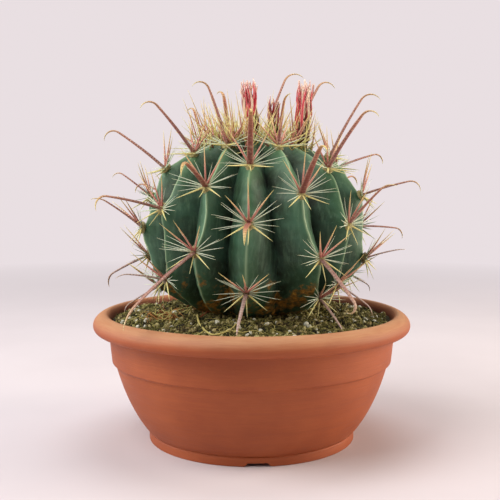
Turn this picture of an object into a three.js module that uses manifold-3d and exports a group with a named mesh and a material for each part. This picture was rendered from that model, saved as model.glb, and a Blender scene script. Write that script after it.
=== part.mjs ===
// Potted barrel cactus: a ribbed round stem with hooked spines and withered blooms,
// growing in mossy soil in a wide terracotta-coloured bowl.
// Millimetres, +Z up. The origin is the centre of the bowl's foot, on the surface it stands on.
// Turns are degrees around the plant: 0 faces -Y, the front, and 90 faces +X.
import * as THREE from 'three';
import { mergeVertices } from 'three/addons/utils/BufferGeometryUtils.js';
import Module from 'manifold-3d';

const wasm = await Module();
wasm.setup();

// ---------- driving dimensions ----------
const GAP = 0.3; // clearance between pieces that touch

// bowl
const RIM_RADIUS = 125; // widest point of the rolled rim
const RIM_TOP = 100.4;
const RIM_BASE = 86.5; // underside of the rolled rim
const CREST_RADIUS = 117; // top of the rolled rim
const BAND_RADIUS = 113; // plain band under the rim
const STEP_RADIUS = 108; // where the bowl meets the band
const STEP_HEIGHT = 61.5;
const FOOT_RADIUS = 82;
const FOOT_HEIGHT = 7;
const FOOT_WIDTH = 6;
const FOOT_RECESS = 3.5;
const BELLY = { out: 17, up: 20 }; // pull of the bowl's curve just above the foot
const WALL = 3.6;
const FLOOR_TOP = FOOT_RECESS + WALL;
const NOTCHES = 4; // water slots through the foot ring
const NOTCH_WIDTH = 17;
const NOTCH_HEIGHT = 2.5;
const NOTCH_TURN = 3; // the first slot is a little right of the front
const DRAIN_RADIUS = 5;
const DRAIN_CIRCLE = 48;
const BOWL_SEGMENTS = 36;

// soil
const SOIL_EDGE = 93; // level at the wall
const SOIL_CROWN = 104; // level that the mound would reach on the axis

// stem: the outline along the rib crests
const WAIST_HEIGHT = 160; // height of the widest point
const WAIST_RADIUS = 88;
const CROWN_RISE = 76; // waist to crown
const CROWN_FULLNESS = 2.3; // exponent of the upper outline, 2 is an ellipse
const CROWN_BACK = 12; // the crown grows a little behind the bowl's axis
const BASE_DROP = 68; // waist to the point where the lower outline would close
const ROOT_START = 101; // height where the stem becomes the root neck
const ROOT_END = 64;
const ROOT_TIP_RADIUS = 5;
const VALLEY_DEPTH = 0.2; // valley depth as a share of the crest radius
const CROWN_CUT = { from: 190, over: 40, more: 0.9 }; // the valleys deepen towards the crown
const CHIN = 3.8; // swelling under each areole
const CHIN_LENGTH = 10;
const LEAN_START = 195; // ribs that lean do so below this height
const LEAN_LENGTH = 75;
const UPPER_RINGS = 9;
const LOWER_RINGS = 7;
const COLUMNS_PER_RIB = 4;

// Ribs, one row each: the turn of the crest, how far it leans sideways towards the base, its radius as a
// share of the outline, its sharpness (1 is a keel, 2 is round), how far it bows sideways between areoles,
// and its areoles from the top down. An areole gives its height and its hooked spine: lift above level,
// swing sideways from the rib, length, and how far the tip curls over.
const areole = (height, lift, swing, length, curl) => ({ height, lift, swing, length, curl });
const rib = (turn, lean, girth, power, sway, ...areoles) => ({ turn, lean, girth, power, sway, areoles });
const RIBS = [
  rib(-132, 0, 0.97, 1.25, 1.5,
    areole(226, 70, -12, 52, 110), areole(186, 24, 6, 56, 100), areole(140, -16, -8, 50, 90)),
  rib(-102, 0, 0.955, 1.2, -1.5, areole(190, 42, 1, 41, 100), areole(143, -20, -15, 54, 84)),
  rib(-71, -6, 0.95, 1.2, 1,
    areole(212, 42, -23, 62, 125), areole(168, 41, -3, 46, 50), areole(122, -24, 0, 36, 60)),
  rib(-48.5, -3, 0.965, 1.2, 1.6,
    areole(223, 54, -14, 62, 115), areole(183, 17, -8, 60, 120), areole(131, 14, -28, 38, 40)),
  rib(-23, -8, 0.99, 1.2, 3,
    areole(229, 76, -51, 60, 125), areole(199, 25, 8, 60, 110), areole(154, -34, -37, 75, 34)),
  rib(-1, -2, 1, 1.5, -1.2,
    areole(214, 52, 2, 60, 74), areole(174, 2, -2, 54, 80), areole(125, -38, -12, 38, 25)),
  rib(24, 18, 1, 1.25, -1.5,
    areole(228, 84, 12, 44, 80), areole(194, 45, -8, 62, 85),
    areole(149, -37, 10, 56, 165), areole(118, -36, -2, 35, 15)),
  rib(50, 0, 1, 1.2, 2.2,
    areole(212, 57, 2, 64, 110), areole(172, 50, 7, 49, 60), areole(128, -26, 14, 36, 50)),
  rib(77, 0, 1, 1.2, 1,
    areole(221, 66, 5, 68, 115), areole(192, 21, 1, 51, 105), areole(144, 20, 10, 32, 10)),
  rib(107, 0, 1, 1.25, -1.4,
    areole(213, 22, 7, 52, 110), areole(166, 1, 3, 48, 95), areole(128, -24, -3, 28, 70)),
  rib(137, 0, 1, 1.2, 1.8,
    areole(229, 67, -20, 80, 115), areole(191, 26, -4, 58, 105), areole(147, -20, 10, 54, 80)),
  rib(167, 0, 1, 1.3, -1.6,
    areole(231, 75, -60, 80, 110), areole(212, 48, 4, 52, 95),
    areole(170, 4, 2, 54, 85), areole(127, -28, 6, 40, 60)),
  rib(198, 0, 0.99, 1.2, 1.4,
    areole(224, 80, 10, 70, 105), areole(190, 24, -10, 56, 100), areole(146, -22, 2, 52, 85)),
];

// spines of one areole, besides the hooked one. Clock angles start at the crown's side.
const UNDERSIDE_TILT = 0.35; // areoles under the waist face outwards more than their skin does
const PAD = { side: 3.6, along: 5, thick: 2.6, sink: 0.4 };
const HOOK = { wide: 2.3, thick: 1, sag: 12, curlFrom: 0.74, segments: 7, sides: 4 };
const straight = (clock, raise, length, radius) => ({ clock, raise, length, radius });
const STRAIGHTS = [
  straight(-38, 32, 34, 0.8), straight(0, 36, 33, 0.75), straight(38, 32, 32, 0.8),
  straight(-125, 20, 23, 0.7), straight(125, 20, 22, 0.7), straight(180, 24, 17, 0.5),
  straight(-82, 14, 25, 0.5), straight(82, 14, 25, 0.5),
];

// crown tuft, blooms and the bare root on the soil
const TUFT = { radius: 19, height: 5.5, spines: 9, length: 24 };
const BLOOMS = [
  { name: 'withered_bloom_left', turn: 10, reach: 14, height: 50, lean: -7, radius: 5.2, tepals: 7 },
  { name: 'withered_bloom_middle', turn: 72, reach: 17, height: 37, lean: 3, radius: 4, tepals: 5 },
  { name: 'withered_bloom_right', turn: 76, reach: 41, height: 54.5, lean: 2, radius: 5.8, tepals: 7 },
];
const ROOT_RADIUS = 0.8;
const ROOT_ROUTE = [[-41, -38], [-37, -68], [-27, -92], [-15, -82], [-11, -66]];

// ---------- colours ----------
const COLOURS = {
  bowl: 0xb4623f,
  soil: 0x4f4a26,
  stem: 0x2f5a48,
  spines: 0xc08a72,
  tuft: 0xb9ad6a,
  bloom: 0xb2304a,
  root: 0xb39a55,
};

// ---------- helpers ----------
const degrees = THREE.MathUtils.degToRad;
const clamp = THREE.MathUtils.clamp;

// A closed geometry as a manifold solid: only positions, shared corners merged, slivers dropped.
function solidOf(geometry) {
  const bare = geometry.clone();
  bare.deleteAttribute('normal');
  bare.deleteAttribute('uv');
  const merged = mergeVertices(bare, 1e-4);
  const corners = merged.index.array;
  const kept = [];
  for (let i = 0; i < corners.length; i += 3) {
    const [a, b, c] = corners.slice(i, i + 3);
    if (a !== b && b !== c && c !== a) kept.push(a, b, c);
  }
  return new wasm.Manifold(new wasm.Mesh({
    numProp: 3,
    vertProperties: Float32Array.from(merged.attributes.position.array),
    triVerts: Uint32Array.from(kept),
  }));
}

// The largest body of a solid: a spine tip cut off where two spines cross is left out.
function largestBody(solid) {
  return solid.decompose().reduce((a, b) => (b.volume() > a.volume() ? b : a));
}

const boxesMeet = (a, b) => a.min.every((low, k) => low <= b.max[k] && b.min[k] <= a.max[k]);

// A solid with the others cut out of it wherever their boxes meet.
function clearOf(solid, others) {
  const box = solid.boundingBox();
  const near = others.filter((other) => boxesMeet(box, other.boundingBox()));
  return largestBody(near.reduce((a, b) => a.subtract(b), solid));
}

function geometryOf(solid) {
  const mesh = solid.getMesh();
  const geometry = new THREE.BufferGeometry();
  geometry.setAttribute('position', new THREE.BufferAttribute(Float32Array.from(mesh.vertProperties), 3));
  geometry.setIndex(Array.from(mesh.triVerts));
  geometry.computeVertexNormals();
  return geometry;
}

const joined = (solids) => solids.reduce((a, b) => a.add(b));

// A profile of Vector2(radius, height) turned around Z.
function turned(profile, segments) {
  return new THREE.LatheGeometry(profile, segments).rotateX(Math.PI / 2);
}

function piece(name, solid, colour, roughness = 0.8) {
  const material = new THREE.MeshStandardMaterial({ color: colour, roughness, metalness: 0 });
  const mesh = new THREE.Mesh(geometryOf(solid), material);
  mesh.name = name;
  return mesh;
}

const outward = (turn) => new THREE.Vector3(Math.sin(degrees(turn)), -Math.cos(degrees(turn)), 0);
const sideways = (turn) => new THREE.Vector3(Math.cos(degrees(turn)), Math.sin(degrees(turn)), 0);
const UP = new THREE.Vector3(0, 0, 1);

// ---------- bowl ----------
// The bowl's curve from the foot to the step, moved inwards by inset.
function bowlCurve(path, inset, startRadius, startHeight) {
  path.quadraticCurveTo(
    startRadius + BELLY.out, startHeight + BELLY.up,
    STEP_RADIUS - inset, STEP_HEIGHT,
  );
}

function bowlProfile() {
  const path = new THREE.Path();
  path.moveTo(0, FOOT_RECESS);
  path.lineTo(FOOT_RADIUS - FOOT_WIDTH, FOOT_RECESS);
  path.lineTo(FOOT_RADIUS - FOOT_WIDTH, 0);
  path.lineTo(FOOT_RADIUS, 0);
  path.lineTo(FOOT_RADIUS, FOOT_HEIGHT);
  bowlCurve(path, 0, FOOT_RADIUS, FOOT_HEIGHT);
  path.lineTo(STEP_RADIUS + 2.6, STEP_HEIGHT + 1.5);
  path.lineTo(BAND_RADIUS, RIM_BASE);
  path.lineTo(RIM_RADIUS - 4, RIM_BASE);
  path.bezierCurveTo(
    RIM_RADIUS + 2, RIM_BASE + 1.5,
    RIM_RADIUS + 2, RIM_TOP - 3,
    CREST_RADIUS, RIM_TOP,
  );
  path.bezierCurveTo(
    CREST_RADIUS - 4, RIM_TOP + 1,
    BAND_RADIUS - WALL + 1.5, RIM_TOP - 3,
    BAND_RADIUS - WALL, RIM_BASE,
  );
  path.lineTo(STEP_RADIUS - WALL, STEP_HEIGHT);
  const inner = innerWall(0);
  return [...path.getPoints(5), ...inner];
}

// The inside of the bowl from the step down to the floor's centre, offset inwards by clearance.
function innerWall(clearance) {
  const start = FOOT_RADIUS - WALL;
  const path = new THREE.Path();
  path.moveTo(start - clearance, FLOOR_TOP + clearance);
  bowlCurve(path, WALL + clearance, start - clearance, FLOOR_TOP + clearance);
  const points = path.getPoints(5).reverse().slice(1);
  points.push(new THREE.Vector2(0, FLOOR_TOP + clearance));
  return points;
}

function buildBowl() {
  let bowl = solidOf(turned(bowlProfile(), BOWL_SEGMENTS));
  for (let i = 0; i < NOTCHES; i++) {
    const turn = NOTCH_TURN + (360 / NOTCHES) * i;
    const notch = new THREE.BoxGeometry(4 * FOOT_WIDTH, NOTCH_WIDTH, 2 * NOTCH_HEIGHT);
    notch.translate(FOOT_RADIUS - FOOT_WIDTH / 2, 0, 0).rotateZ(degrees(turn - 90));
    bowl = bowl.subtract(solidOf(notch));
    const drain = new THREE.CylinderGeometry(DRAIN_RADIUS, DRAIN_RADIUS, 4 * WALL, 12);
    drain.rotateX(Math.PI / 2).translate(DRAIN_CIRCLE, 0, FOOT_RECESS).rotateZ(degrees(turn - 45));
    bowl = bowl.subtract(solidOf(drain));
  }
  return piece('pot_bowl', bowl, COLOURS.bowl, 0.75);
}

// ---------- stem ----------
// Where a rib's crest stands at a height, as a turn.
function ribTurn(row, height) {
  const fall = clamp((LEAN_START - height) / LEAN_LENGTH, 0, 1.2);
  const below = row.areoles.findIndex((a) => a.height < height);
  let bow = 0;
  if (below > 0) {
    const [upper, lower] = [row.areoles[below - 1].height, row.areoles[below].height];
    bow = Math.sin(Math.PI * (height - lower) / (upper - lower)) * row.sway / WAIST_RADIUS;
  }
  return row.turn + row.lean * fall ** 1.6 + bow * 180 / Math.PI;
}

// Radius of the crest outline at a height, between the root neck and the crown.
function crestRadius(height) {
  const rise = height - WAIST_HEIGHT;
  const share = rise > 0 ? rise / CROWN_RISE : -rise / BASE_DROP;
  const power = rise > 0 ? CROWN_FULLNESS : 2;
  return WAIST_RADIUS * Math.max(0, 1 - share ** power) ** (1 / power);
}

const crownShift = (height) => CROWN_BACK * clamp((height - WAIST_HEIGHT) / CROWN_RISE, 0, 1) ** 2;

const chin = (row, height) => row.areoles.reduce(
  (sum, a) => sum + CHIN * Math.exp(-(((height - a.height + 4) / CHIN_LENGTH) ** 2)), 0,
);

// Crest outline as radius and height from the root tip up, grown by grow.
function stemOutline(grow) {
  const points = [];
  const neck = new THREE.Path();
  const drop = WAIST_HEIGHT - ROOT_START;
  const neckRadius = (WAIST_RADIUS + grow) * Math.sqrt(1 - (drop / (BASE_DROP + grow)) ** 2);
  neck.moveTo(0, ROOT_END - grow);
  neck.lineTo(ROOT_TIP_RADIUS + grow, ROOT_END - grow);
  neck.quadraticCurveTo(ROOT_TIP_RADIUS + 11, ROOT_START - 5, neckRadius, ROOT_START);
  points.push(...neck.getPoints(4).slice(0, -1));
  const low = Math.asin(drop / (BASE_DROP + grow));
  for (let i = 0; i < LOWER_RINGS; i++) {
    const angle = low * (1 - i / LOWER_RINGS);
    points.push(new THREE.Vector2(
      (WAIST_RADIUS + grow) * Math.cos(angle),
      WAIST_HEIGHT - (BASE_DROP + grow) * Math.sin(angle),
    ));
  }
  for (let i = 0; i <= UPPER_RINGS; i++) {
    const angle = (Math.PI / 2) * (i / UPPER_RINGS);
    const round = 2 / CROWN_FULLNESS;
    points.push(new THREE.Vector2(
      i === UPPER_RINGS ? 0 : (WAIST_RADIUS + grow) * Math.cos(angle) ** round,
      WAIST_HEIGHT + (CROWN_RISE + grow) * Math.sin(angle) ** round,
    ));
  }
  return points;
}

// The ribbed stem, grown all over by grow: a turned outline whose columns are pushed in between ribs.
function stemSolid(grow) {
  const columns = RIBS.length * COLUMNS_PER_RIB;
  const geometry = turned(stemOutline(grow), columns);
  const position = geometry.attributes.position;
  const rings = position.count / (columns + 1);
  for (let i = 0; i < position.count; i++) {
    const column = Math.floor(i / rings) % columns;
    const index = Math.floor(column / COLUMNS_PER_RIB);
    const share = (column % COLUMNS_PER_RIB) / COLUMNS_PER_RIB;
    const height = position.getZ(i);
    const radius = Math.hypot(position.getX(i), position.getY(i));
    const here = RIBS[index];
    const next = RIBS[(index + 1) % RIBS.length];
    const gapTurn = (ribTurn(next, height) - ribTurn(here, height) + 360) % 360;
    const turn = ribTurn(here, height) + gapTurn * share;
    const toValley = 1 - Math.abs(2 * share - 1);
    const ribbed = clamp((height - ROOT_START + 4) / 14, 0, 1);
    const nearest = share < 0.5 ? here : next;
    const cut = 1 + CROWN_CUT.more * clamp((height - CROWN_CUT.from) / CROWN_CUT.over, 0, 1);
    const valley = VALLEY_DEPTH * cut * radius * ribbed * toValley ** nearest.power;
    const blend = share * share * (3 - 2 * share);
    const girth = 1 + (here.girth + (next.girth - here.girth) * blend - 1) * ribbed;
    const swell = radius > 1 ? chin(nearest, height) * ribbed * (1 - toValley) : 0;
    const spot = outward(turn).multiplyScalar(radius * girth - valley + swell);
    position.setXYZ(i, spot.x, spot.y + crownShift(height), height);
  }
  return solidOf(geometry);
}

// ---------- soil ----------
const soilLevel = (radius) => SOIL_EDGE + (SOIL_CROWN - SOIL_EDGE) * (1 - (radius / BAND_RADIUS) ** 2);

// The mound of soil before the stem's room is cut from it, its surface raised by lift.
function moundSolid(lift) {
  const rim = BAND_RADIUS - WALL - 2 * GAP;
  const profile = innerWall(GAP).reverse();
  profile.push(new THREE.Vector2(STEP_RADIUS - WALL - GAP, STEP_HEIGHT));
  profile.push(new THREE.Vector2(rim, RIM_BASE));
  const steps = 6;
  for (let i = 0; i <= steps; i++) {
    const radius = rim * (1 - i / steps);
    profile.push(new THREE.Vector2(radius, soilLevel(radius) + lift));
  }
  return solidOf(turned(profile, BOWL_SEGMENTS));
}

// ---------- spines ----------
// The frame of an areole: its spot on the crest, the way out, the way up the rib and sideways.
function areoleFrame(row, height) {
  const turn = ribTurn(row, height);
  const spotAt = (h) => outward(turn)
    .multiplyScalar(crestRadius(h) * row.girth + chin(row, h))
    .add(new THREE.Vector3(0, crownShift(h), h));
  const spot = spotAt(height);
  const side = sideways(turn);
  const slope = crestRadius(height + 2) - crestRadius(height - 2);
  const along = outward(turn)
    .multiplyScalar(slope > 0 ? slope * UNDERSIDE_TILT : slope)
    .addScaledVector(UP, 4)
    .normalize();
  const out = new THREE.Vector3().crossVectors(along, side).negate();
  return { turn, spot, side, along, out };
}

// A tapering spine: a cylinder whose rings are laid along a path of points and directions.
// wide and thick are half sizes at the base, across and within the plane that the spine bends in.
function spineSolid(path, side, wide, thick, sides) {
  const geometry = new THREE.CylinderGeometry(1, 1, path.length - 1, sides, path.length - 1);
  const position = geometry.attributes.position;
  for (let i = 0; i < position.count; i++) {
    const ring = Math.round(position.getY(i) + (path.length - 1) / 2);
    const { point, direction, share } = path[ring];
    const taper = (1 - share ** 8) * (1 - 0.4 * share);
    const flat = new THREE.Vector3().crossVectors(side, direction);
    const spot = point.clone()
      .addScaledVector(side, position.getX(i) * wide * taper)
      .addScaledVector(flat, position.getZ(i) * thick * taper);
    position.setXYZ(i, spot.x, spot.y, spot.z);
  }
  return solidOf(geometry);
}

// The hooked spine's path in its upright plane: nearly straight, then curling over at the tip.
function hookPath(start, turn, hook) {
  const heading = outward(turn);
  const point = start.clone();
  const fine = 8;
  const path = [];
  let share = 0;
  for (let i = 0; i <= HOOK.segments; i++) {
    const goal = 1 - (1 - i / HOOK.segments) ** 1.6;
    const step = (goal - share) / fine;
    for (let j = 0; j < fine && i > 0; j++) {
      share += step;
      point.addScaledVector(hookDirection(heading, hook, share - step / 2), hook.length * step);
    }
    share = goal;
    path.push({ point: point.clone(), direction: hookDirection(heading, hook, share), share });
  }
  return path;
}

function hookDirection(heading, hook, share) {
  const curled = clamp((share - HOOK.curlFrom) / (1 - HOOK.curlFrom), 0, 1);
  const angle = degrees(hook.lift - HOOK.sag * share - hook.curl * curled);
  return heading.clone().multiplyScalar(Math.cos(angle)).addScaledVector(UP, Math.sin(angle));
}

const straightPath = (start, direction, length) => [0, 1].map((share) => (
  { point: start.clone().addScaledVector(direction, share * length), direction, share }
));

function straightSolid(frame, start, { clock, raise, length, radius }) {
  const flatWay = frame.along.clone().multiplyScalar(Math.cos(degrees(clock)))
    .addScaledVector(frame.side, Math.sin(degrees(clock)));
  const direction = flatWay.multiplyScalar(Math.cos(degrees(raise)))
    .addScaledVector(frame.out, Math.sin(degrees(raise)));
  const side = new THREE.Vector3().crossVectors(direction, frame.out).normalize();
  return spineSolid(straightPath(start, direction, length), side, radius, radius, 3);
}

// One areole's felt pad with its spines, kept clear of the stem and of the spines made before it.
function areoleCluster(row, spec, keepOut) {
  const frame = areoleFrame(row, spec.height);
  const pad = new THREE.SphereGeometry(1, 6, 4);
  pad.scale(PAD.side, PAD.along, PAD.thick);
  const basis = new THREE.Matrix4().makeBasis(frame.side, frame.along, frame.out);
  const seat = frame.spot.clone().addScaledVector(frame.out, PAD.sink);
  pad.applyMatrix4(basis.setPosition(seat));
  const start = frame.spot.clone().addScaledVector(frame.out, 1);
  const hookTurn = frame.turn + spec.swing;
  const path = hookPath(start, hookTurn, spec);
  const hook = spineSolid(path, sideways(hookTurn), HOOK.wide, HOOK.thick, HOOK.sides);
  const solids = [solidOf(pad), hook, ...STRAIGHTS.map((s) => straightSolid(frame, start, s))];
  return clearOf(joined(solids), keepOut);
}

// ---------- crown and blooms ----------
const crownSpot = (turn, reach, lift) => outward(turn).multiplyScalar(reach)
  .add(new THREE.Vector3(0, CROWN_BACK, lift));

// Height of the crest outline at a distance from the crown's centre.
const crownLevel = (reach) => WAIST_HEIGHT
  + CROWN_RISE * (1 - (reach / WAIST_RADIUS) ** CROWN_FULLNESS) ** (1 / CROWN_FULLNESS);

// Wool at the growing point with the youngest spines standing in it.
function tuftSolid(keepOut) {
  const top = WAIST_HEIGHT + CROWN_RISE;
  const wool = new THREE.SphereGeometry(1, 12, 6).rotateX(Math.PI / 2);
  wool.scale(TUFT.radius, TUFT.radius, TUFT.height).translate(0, CROWN_BACK, top);
  const solids = [solidOf(wool)];
  for (let i = 0; i < TUFT.spines; i++) {
    const turn = (360 / TUFT.spines) * i + 11;
    const inner = i % 2;
    const start = crownSpot(turn, TUFT.radius * (inner ? 0.45 : 0.75), top);
    const way = outward(turn).multiplyScalar(inner ? 0.15 : 0.45).add(UP).normalize();
    solids.push(spineSolid(straightPath(start, way, TUFT.length), sideways(turn), 0.9, 0.6, 3));
  }
  return clearOf(joined(solids), keepOut);
}

// A dried flower: a narrow tube with a bundle of shrivelled tepals standing in it.
function bloomSolid({ turn, reach, height, lean, radius, tepals }) {
  const foot = crownLevel(reach) - 2;
  const tube = new THREE.Path();
  tube.moveTo(0, 0);
  tube.lineTo(radius * 0.62, 0);
  tube.quadraticCurveTo(radius, height * 0.2, radius * 0.8, height * 0.45);
  tube.lineTo(0, height * 0.45);
  const solids = [solidOf(turned(tube.getPoints(3), 9))];
  for (let i = 0; i < tepals; i++) {
    const way = outward((360 / tepals) * i);
    const side = sideways((360 / tepals) * i);
    const tall = height * (i % 2 ? 1 : 0.9);
    const path = [0.3, 0.7, 1].map((share) => ({
      point: way.clone().multiplyScalar(radius * (0.3 + 0.5 * share)).addScaledVector(UP, tall * share),
      direction: UP.clone(),
      share: share * 0.9,
    }));
    solids.push(spineSolid(path, side, 1.9, 1, 4));
  }
  const spot = crownSpot(turn, reach, foot);
  const placed = new THREE.Matrix4().makeRotationY(degrees(lean)).setPosition(spot);
  return joined(solids).transform(placed.elements);
}

// ---------- bare root lying on the soil ----------
function rootSolid(keepOut) {
  const points = ROOT_ROUTE.map(([x, y]) => (
    new THREE.Vector3(x, y, soilLevel(Math.hypot(x, y)) + ROOT_RADIUS + 2 * GAP)
  ));
  const section = new THREE.Shape().absarc(0, 0, ROOT_RADIUS, 0, 2 * Math.PI);
  const thread = new THREE.ExtrudeGeometry(section, {
    steps: 14, curveSegments: 3, bevelEnabled: false, extrudePath: new THREE.CatmullRomCurve3(points),
  });
  return clearOf(solidOf(thread), keepOut);
}

// ---------- assembly ----------
const plant = new THREE.Group();
const stemRoom = stemSolid(GAP);
plant.add(buildBowl());
plant.add(piece('potting_soil', clearOf(moundSolid(0), [stemRoom]), COLOURS.soil, 1));
plant.add(piece('cactus_stem', stemSolid(0), COLOURS.stem, 0.6));

const made = [stemRoom, moundSolid(2 * GAP)];
for (const bloom of BLOOMS) {
  const solid = clearOf(bloomSolid(bloom), made);
  made.push(solid);
  plant.add(piece(bloom.name, solid, COLOURS.bloom, 0.9));
}
const tuft = tuftSolid(made);
made.push(tuft);
plant.add(piece('crown_tuft', tuft, COLOURS.tuft, 0.9));

RIBS.forEach((row, r) => row.areoles.forEach((spec, a) => {
  const cluster = areoleCluster(row, spec, made);
  made.push(cluster);
  const name = `spines_rib${String(r + 1).padStart(2, '0')}_areole${a + 1}`;
  plant.add(piece(name, cluster, COLOURS.spines, 0.6));
}));
plant.add(piece('surface_root', rootSolid(made.slice(2)), COLOURS.root, 0.9));

export default plant;
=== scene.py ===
"""Looks of a potted barrel cactus: a ribbed stem with hooked spines, withered blooms, soil and a bowl.

Sizes in the classes are millimetres, turned to metres by MM as the meshes are made. Turns are degrees
around the plant: 0 faces -Y, the front, and 90 faces +X.
"""

import logging
import math
from collections.abc import Callable
from dataclasses import dataclass, field
from enum import Enum
from functools import partial
from typing import Any, ClassVar

import bpy
import numpy as np
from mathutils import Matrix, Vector


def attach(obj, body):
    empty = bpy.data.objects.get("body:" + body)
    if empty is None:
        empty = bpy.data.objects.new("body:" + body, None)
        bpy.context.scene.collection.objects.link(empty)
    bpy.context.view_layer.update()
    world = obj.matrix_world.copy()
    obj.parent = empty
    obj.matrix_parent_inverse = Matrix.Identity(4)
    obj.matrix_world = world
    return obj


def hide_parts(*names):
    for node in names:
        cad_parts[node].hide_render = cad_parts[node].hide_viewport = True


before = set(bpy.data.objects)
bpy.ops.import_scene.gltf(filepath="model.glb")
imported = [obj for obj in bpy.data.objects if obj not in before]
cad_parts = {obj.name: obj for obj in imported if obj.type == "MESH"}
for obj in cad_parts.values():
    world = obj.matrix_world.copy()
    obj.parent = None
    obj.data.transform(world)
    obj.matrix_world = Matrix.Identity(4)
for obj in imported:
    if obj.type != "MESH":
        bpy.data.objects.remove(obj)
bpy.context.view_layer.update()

MM = 0.001
Array = np.ndarray
UP = np.array([0, 0, 1.0])
Socket = bpy.types.NodeSocket
log = logging.getLogger("potted_cactus")


# ---------------------------------------------------------------- colour and nodes

def linear(colour: str) -> tuple[float, float, float, float]:
    """Turns an sRGB hex colour into linear light.

    Args:
        colour: six hex digits, with or without a leading #.

    Returns:
        Red, green, blue and an alpha of 1.
    """
    digits = colour.lstrip("#")
    values = [int(digits[i:i + 2], 16) / 255 for i in (0, 2, 4)]
    red, green, blue = (v / 12.92 if v <= 0.04045 else ((v + 0.055) / 1.055) ** 2.4 for v in values)
    return red, green, blue, 1.0


class Node(Enum):
    """The shader nodes in use: type, the inputs that are given in order, the output used, and settings."""

    PLACE = ("ShaderNodeTexCoord", (), "Object", {})
    STRETCH = ("ShaderNodeMapping", ("Vector", "Scale"), 0, {})
    NOISE = ("ShaderNodeTexNoise", ("Vector", "Scale", "Detail", "Roughness"), 0, {})
    VALUE = ("ShaderNodeAttribute", (), "Fac", {})
    RAMP = ("ShaderNodeValToRGB", (0,), 0, {})
    BLEND = ("ShaderNodeMix", (0, 6, 7), 2, {"data_type": "RGBA"})
    RANGE = ("ShaderNodeMapRange", (0, 1, 2, 3, 4), 0, {})
    SUM = ("ShaderNodeMath", (0, 1), 0, {"operation": "ADD"})
    PRODUCT = ("ShaderNodeMath", (0, 1), 0, {"operation": "MULTIPLY"})
    SINE = ("ShaderNodeMath", (0,), 0, {"operation": "SINE"})
    DISTANCE = ("ShaderNodeVectorMath", (0,), "Value", {"operation": "LENGTH"})
    BUMP = ("ShaderNodeBump", ("Height", "Distance", "Normal"), 0, {})
    GLOW = ("ShaderNodeEmission", ("Color", "Strength"), 0, {})
    SKY = ("ShaderNodeBackground", ("Color", "Strength"), 0, {})
    RAY = ("ShaderNodeLightPath", (), 0, {})
    MERGE = ("ShaderNodeMixShader", (0, 1, 2), 0, {})


def add_node(tree: bpy.types.NodeTree, kind: Node, *inputs: Any, stops: dict[float, str] | None = None,
             **settings: Any) -> Socket:
    """Adds one node with its settings, values and links.

    Args:
        tree: the node tree to add to.
        kind: which node.
        inputs: for each input of the kind, a value, a hex colour, or the socket that feeds it.
        stops: a ramp's places and colours, in order.
        settings: further attributes of the node, such as attribute_name.

    Returns:
        The output socket that the kind names.
    """
    type_name, keys, output, fixed = kind.value
    node = tree.nodes.new(type_name)
    for name, value in {**fixed, **settings}.items():
        setattr(node, name, value)
    for key, value in zip(keys, inputs):
        if isinstance(value, Socket):
            tree.links.new(value, node.inputs[key])
        else:
            node.inputs[key].default_value = linear(value) if isinstance(value, str) else value
    if stops:
        elements = node.color_ramp.elements
        while len(elements) < len(stops):
            elements.new(0.5)
        for element, (place, colour) in zip(elements, stops.items()):
            element.position = place
            element.color = linear(colour)
    return node.outputs[output]


def per_mm(size_mm: float) -> float:
    """Scale of a texture on metres whose lumps are about size_mm across."""
    return 1 / (size_mm * MM)


Adder = Callable[..., Socket]


@dataclass(frozen=True)
class Finish:
    """A surface finish: a material named for what the real stuff is.

    Args:
        name: the material's name.
        roughness: the shader's roughness where no pattern drives it.
        ior: refractive index of the surface.
        relief: depths in millimetres of the bumps that pattern returns.
    """

    name: str
    roughness: float = 0.7
    ior: float = 1.45
    relief: tuple[float, ...] = ()

    def build(self) -> bpy.types.Material:
        """Makes the material once and returns it.

        Returns:
            The material.
        """
        if self.name in bpy.data.materials:
            return bpy.data.materials[self.name]
        material = bpy.data.materials.new(self.name)
        material.use_nodes = True
        tree = material.node_tree
        shader = tree.nodes["Principled BSDF"]
        shader.inputs["Roughness"].default_value = self.roughness
        shader.inputs["IOR"].default_value = self.ior
        add = partial(add_node, tree)
        colour, *heights = self.pattern(add, add(Node.PLACE), shader)
        tree.links.new(colour, shader.inputs["Base Color"])
        normal = None
        for height, depth in zip(heights, self.relief):
            below = () if normal is None else (normal,)
            normal = add(Node.BUMP, height, depth * MM, *below)
            tree.links.new(normal, shader.inputs["Normal"])
        return material

    def pattern(self, add: Adder, place: Socket, shader: bpy.types.Node) -> tuple[Socket, ...]:
        """Draws the finish; each finish has its own.

        Args:
            add: adds a node to the material.
            place: Object coordinates.
            shader: the shader, for sockets other than its colour.

        Returns:
            The colour, then a height for each depth in relief.
        """
        raise NotImplementedError


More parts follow.
